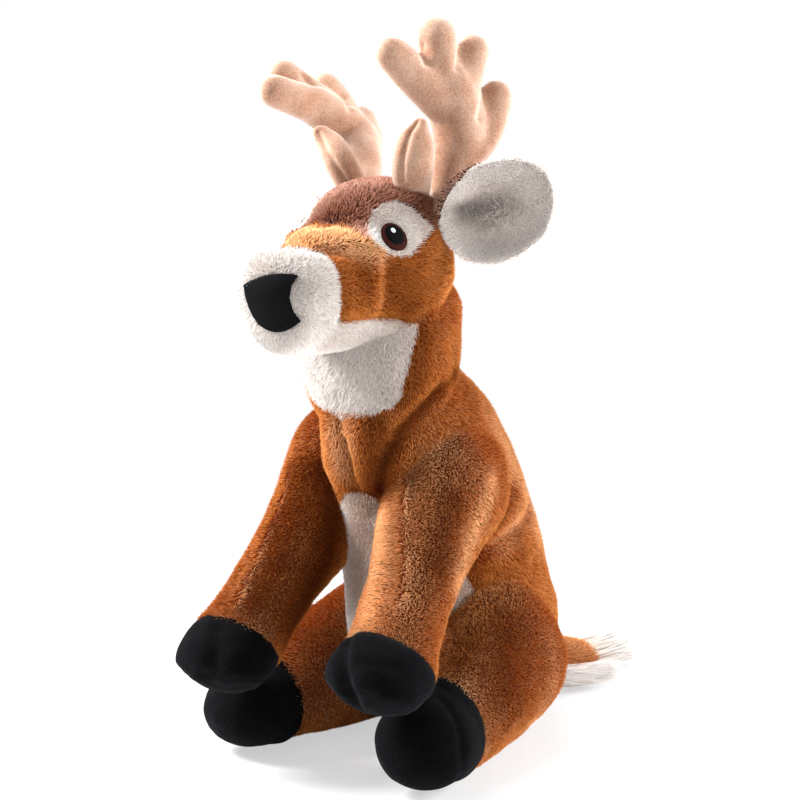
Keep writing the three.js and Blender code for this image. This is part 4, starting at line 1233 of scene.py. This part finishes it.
# Its last two colours are painted highlight and painted shade.
lining_pile = plush_pile("ear_lining_pile", "F0E4DA", "FBF3ED", "FFFBF7", "FFFFFF", "6E5A4C", sheen=0.4)
for name, side in (("left", 1), ("right", -1)):
    ear_shape = bmesh.new()
    bmesh.ops.create_uvsphere(ear_shape, u_segments=112, v_segments=72, radius=1)
    in_order(ear_shape)
    mesh = meshed(f"ear_plush_{name}", ear_shape)
    ball = places_of(mesh)
    turn = np.arctan2(ball[:, 1], ball[:, 0])
    spread = np.hypot(ball[:, 0], ball[:, 1])
    reach = np.interp(turn, rim_turn[in_turn], rim_reach[in_turn], period=2 * math.pi) * 1.02 - 0.6
    along = ear_middle[0] + reach * spread * np.cos(turn)
    rise = ear_middle[1] + reach * spread * np.sin(turn)
    cup = 15 * spread ** 3 - 7
    cup += 5 * np.exp(-((along - 16) / 15) ** 2 - ((rise - 16) / 9) ** 2)
    cup -= 7 * np.exp(-((along - 14) / 22) ** 2 - ((rise - 1 - 0.25 * along) / 7) ** 2)
    if side < 0:
        cup = far_ear_cup * cup
    out = ball[:, 2] * 3.4 + cup * np.clip(along / 14, 0.15, 1)
    places = (
        np.array(ear_root / mm) + along[:, None] * np.array(ear_aim)
        + rise[:, None] * np.array(ear_up) + out[:, None] * np.array(ear_front)
    )
    if side < 0:
        places += along[:, None] * far_ear_turn
        places[:, 2] -= far_ear_drop + 0.1 * rise
    places = places * [side, 1, 1] + [0, 0, ear_heights[name] - 300]
    move_to(mesh, places * mm)
    skin = put_in_scene(mesh.name, mesh)
    if side < 0:
        mesh.flip_normals()
    mesh.shade_smooth()
    bearing = np.degrees(turn) % 360
    rolled = eased_step(88, 140, bearing) * (1 - eased_step(180, 200, bearing)) * (0.8 if side > 0 else 0)
    mark(skin, "lining", ball[:, 2] + 0.3 - rolled)
    mark(skin, "back", -ball[:, 2] - 0.3 + rolled)
    outward = np.cos(turn)[:, None] * np.array(ear_aim) + np.sin(turn)[:, None] * np.array(ear_up)
    mark(
        skin, "nap",
        along_skin(normals_of(mesh), outward * [side, 1, 1]) * np.clip(spread * 1.3, 0.2, 1)[:, None],
    )
    mark(skin, "height", np.where(ball[:, 2] > 0.3, 0.6, 0.45))
    # Painted light on the lining: painted shade deep in its hollow, and paler towards the rim as painted
    # light.
    hollow_painted_shade = np.exp(-((along - 26 - 0.5 * rise) / 22) ** 2 - ((rise - 1) / 11) ** 2)
    mark(skin, "tint", np.where(ball[:, 2] > 0, 0.15 + 0.5 * spread ** 2 - 0.9 * hollow_painted_shade, 0))
    body = f"ear_{name}"
    backed(
        skin, body, "plush_crown", knit_backing(f"ear_knit_{name}", [("", "3C241B"), ("lining", "EADFD7")]),
        0.3, f"ear_back_{name}",
    )
    lining = pile(
        f"ear_lining_pile_{name}", skin, short_strand, 2.4, lining_pile, where="lining", lay=0.9, stray=0.2,
        soft=0.9, seed=61,
    )
    back = pile(f"ear_back_pile_{name}", skin, short_strand, 2.0, crown_pile, where="back", lay=0.9, seed=62)
    worn(lining, body, "plush_ear_lining", f"ear_lining_{name}")
    worn(back, body, "plush_crown")

# Antlers
# Soft flat antlers of beige velboa, stuffed: a beam, a palm and four tines, and a leaf-shaped brow
# tine sewn on in front of each. The left one stands up and the right one lolls outward.
velboa, velboa_tree, velboa_shader = finish_named("beige_velboa")
where = add(velboa_tree, "ShaderNodeTexCoord").outputs["Object"]
nap_noise = add(velboa_tree, "ShaderNodeTexNoise", {"Vector": where, "Scale": 1 / (1.1 * mm), "Detail": 3.0})
cloud = add(velboa_tree, "ShaderNodeTexNoise", {"Vector": where, "Scale": 1 / (16 * mm), "Detail": 2.0})
both = add(
    velboa_tree, "ShaderNodeMath", {0: nap_noise.outputs["Fac"], 1: cloud.outputs["Fac"]}, operation="ADD",
)
velboa_value = add(velboa_tree, "ShaderNodeMapRange", {0: both, 1: 0.7, 2: 1.3, 3: 0.0, 4: 1.0})
velboa_colour = add(
    velboa_tree, "ShaderNodeMix", {0: velboa_value, 6: linear("9E7056"), 7: linear("C2A18C")},
    data_type="RGBA",
).outputs[2]
# Painted sheen: the velboa is painted paler where its surface turns away from the camera.
velboa_painted_sheen = add(velboa_tree, "ShaderNodeLayerWeight", {"Blend": 0.5}).outputs["Facing"]
velboa_painted_sheen = add(velboa_tree, "ShaderNodeMapRange", {0: velboa_painted_sheen, 1: 0.2, 2: 0.9, 3: 0.0, 4: 0.4})
velboa_colour = add(
    velboa_tree, "ShaderNodeMix", {0: velboa_painted_sheen, 6: velboa_colour, 7: linear("EBD8CC")}, data_type="RGBA",
).outputs[2]
join(velboa_tree, velboa_shader, {"Base Color": velboa_colour})
raised = add(
    velboa_tree, "ShaderNodeBump",
    {"Strength": 0.4, "Distance": 0.4 * mm, "Height": nap_noise.outputs["Fac"]},
)
join(velboa_tree, velboa_shader, {
    "Normal": raised, "Roughness": 0.9, "Specular IOR Level": 0.15, "Sheen Weight": 0.45,
    "Sheen Roughness": 0.4, "Sheen Tint": linear("FBEBDD"),
})
antler_mm_per_pixel = 0.53
antlers = {
    "left": {
        "root": (24, -66, 311), "up": (0.017, 0.156, 0.988), "ahead": (-0.454, -0.88, 0.139),
        "limbs": [
            [(442, 192, 14), (450, 165, 20), (458, 135, 27), (456, 110, 28), (450, 92, 27)],
            [(452, 108, 25), (424, 84, 22), (405, 66, 20), (392, 54, 18)],
            [(446, 95, 25), (440, 62, 21), (437, 36, 20)],
            [(458, 100, 21), (466, 76, 18), (473, 50, 17)],
            [(462, 158, 21), (481, 136, 20), (492, 114, 18), (496, 96, 17)],
        ],
        "leaf": [(412, 190, 19), (413, 162, 22), (417, 139, 17), (420, 128, 9)],
        "seam": [(417, 121), (410, 133), (405, 150), (402, 168), (402, 180)],
        "dents": [([(421, 47), (427, 62)], 4), ([(460, 52), (458, 68)], 3), ([(482, 104), (480, 118)], 3)],
    },
    "right": {
        "root": (-24, -66, 311), "up": (-0.68, 0.156, 0.716), "ahead": (-0.044, -0.984, 0.173),
        "limbs": [
            [(368, 190, 14), (363, 160, 21), (354, 132, 22), (330, 116, 22), (312, 104, 21)],
            [(330, 112, 20), (298, 100, 19), (274, 91, 18)],
            [(325, 104, 17), (300, 86, 16), (283, 73, 16)],
            [(345, 116, 18), (334, 96, 16), (325, 85, 15)],
            [(362, 160, 20), (366, 136, 18), (362, 119, 16)],
        ],
        "leaf": [(352, 184, 17), (340, 163, 17), (330, 146, 15), (322, 136, 10)],
        "seam": [(318, 132), (324, 146), (333, 160), (342, 174), (347, 184)],
        "dents": [([(304, 76), (312, 84)], 3), ([(345, 97), (350, 108)], 3)],
    },
}


def add_limb(shape, limb, root, plane, forward=0, thick=0.8):
    """Adds a limb of an antler through its pixels, each given with its width, on the antler's plane."""
    line = [
        on_plane(p[:2], root, plane) / mm + camera_back * forward * min(0.2 + i, 1)
        for i, p in enumerate(limb)
    ]
    radii = [p[2] * antler_mm_per_pixel for p in limb]
    widest = max(radii)
    line.append(line[-1] + (line[-1] - line[-2]).normalized() * radii[-1])
    line.insert(0, line[0] - (line[1] - line[0]).normalized() * radii[0])
    lengths = np.concatenate([[0], np.cumsum([(b - a).length for a, b in zip(line, line[1:])])])
    ends = [radii[0], *radii, radii[-1]]
    rows = [(at / lengths[-1], r / widest, r / widest * thick) for at, r in zip(lengths, ends)]
    aim = (line[-1] - line[0]).normalized()
    stuff_along(
        shape, line, camera_back.cross(aim), widest, widest, rows,
        start_rounding=radii[0], end_rounding=radii[-1], rings=22, sides=24,
    )


for name, made in antlers.items():
    root = Vector(made["root"]) * mm
    plane = Vector(made["up"]).cross(Vector(made["ahead"])).normalized()
    antler_shape = bmesh.new()
    for limb in made["limbs"]:
        add_limb(antler_shape, limb, root, plane)
    skin = sewn_skin(f"antler_plush_{name}", antler_shape, knit=1.9, evening=8, lumpiness=0.8)
    for line, depth in made["dents"]:
        crease(skin, line, depth * 0.6, 3)
    backed(skin, f"antler_{name}", "velboa_antler", velboa, 0.7, f"antler_{name}")
    leaf_shape = bmesh.new()
    add_limb(leaf_shape, made["leaf"], root, plane, 11, 0.75)
    leaf = sewn_skin(f"brow_tine_plush_{name}", leaf_shape, knit=1.4, evening=8, lumpiness=0.5)
    crease(leaf, made["seam"], 1.6, 1.8)
    backed(leaf, f"antler_{name}", "velboa_antler", velboa, 0.7, f"antler_brow_tine_{name}")

# Tail
# A short stuffed stub: brown plush above, and long white pile below that runs out past its tip.
# It is sewn to the seat at its root.
tail_strand = pile_strand("tail_strand", 26.0, 0.45, bend=1.0)
tail_shape = bmesh.new()
tail_rows = [(0, 0.8, 0.72), (0.2, 0.8, 0.72), (0.6, 1, 1), (1, 0.7, 0.7)]
stuff_along(
    tail_shape, [(0, 31, 28), (0, 44, 27), (12, 80, 18), (33, 112, 12)], (1, 0, 0), 14, 17, tail_rows,
    start_rounding=12, end_rounding=22, inset=2, rings=24,
)
tail = sewn_skin("tail_plush", tail_shape, knit=2.2, evening=6, lumpiness=1)
places = places_of(tail.data) / mm
top = np.minimum(places[:, 2] - 18, 96 - places[:, 1])
mark(tail, "top", top)
mark(tail, "under", -top)
combed = along_skin(normals_of(tail.data), (0.6, 0.8, 0.0))
combed[:, 2] = np.maximum(combed[:, 2], 0) + 0.5 * np.clip(-normals_of(tail.data)[:, 2], 0, 1)
mark(tail, "nap", combed)
mark(tail, "height", np.ones(len(places)))
mark(tail, "tint", np.where(top > 0, 0.25, 0))
backed(tail, "tail", "plush_white", knit_backing("tail_knit", [("", "D8CEC6"), ("top", "7A3810")]), 0.6)
tail_top = pile("tail_top_pile", tail, short_strand, 1.9, brown_pile, where="top", lay=1.2, seed=81)
tail_under = pile(
    "tail_under_pile", tail, tail_strand, 1.4, white_pile, where="under", lay=3.0, clump=1.2, soft=0.6,
    seed=82,
)
worn(tail_top, "tail", "plush_brown", "tail_top")
worn(tail_under, "tail", "plush_white", "tail_underside")

# The strands that the piles were made of are done with
for strand in (short_strand, tail_strand):
    bpy.data.objects.remove(strand)

scene.view_settings.view_transform = "Standard"
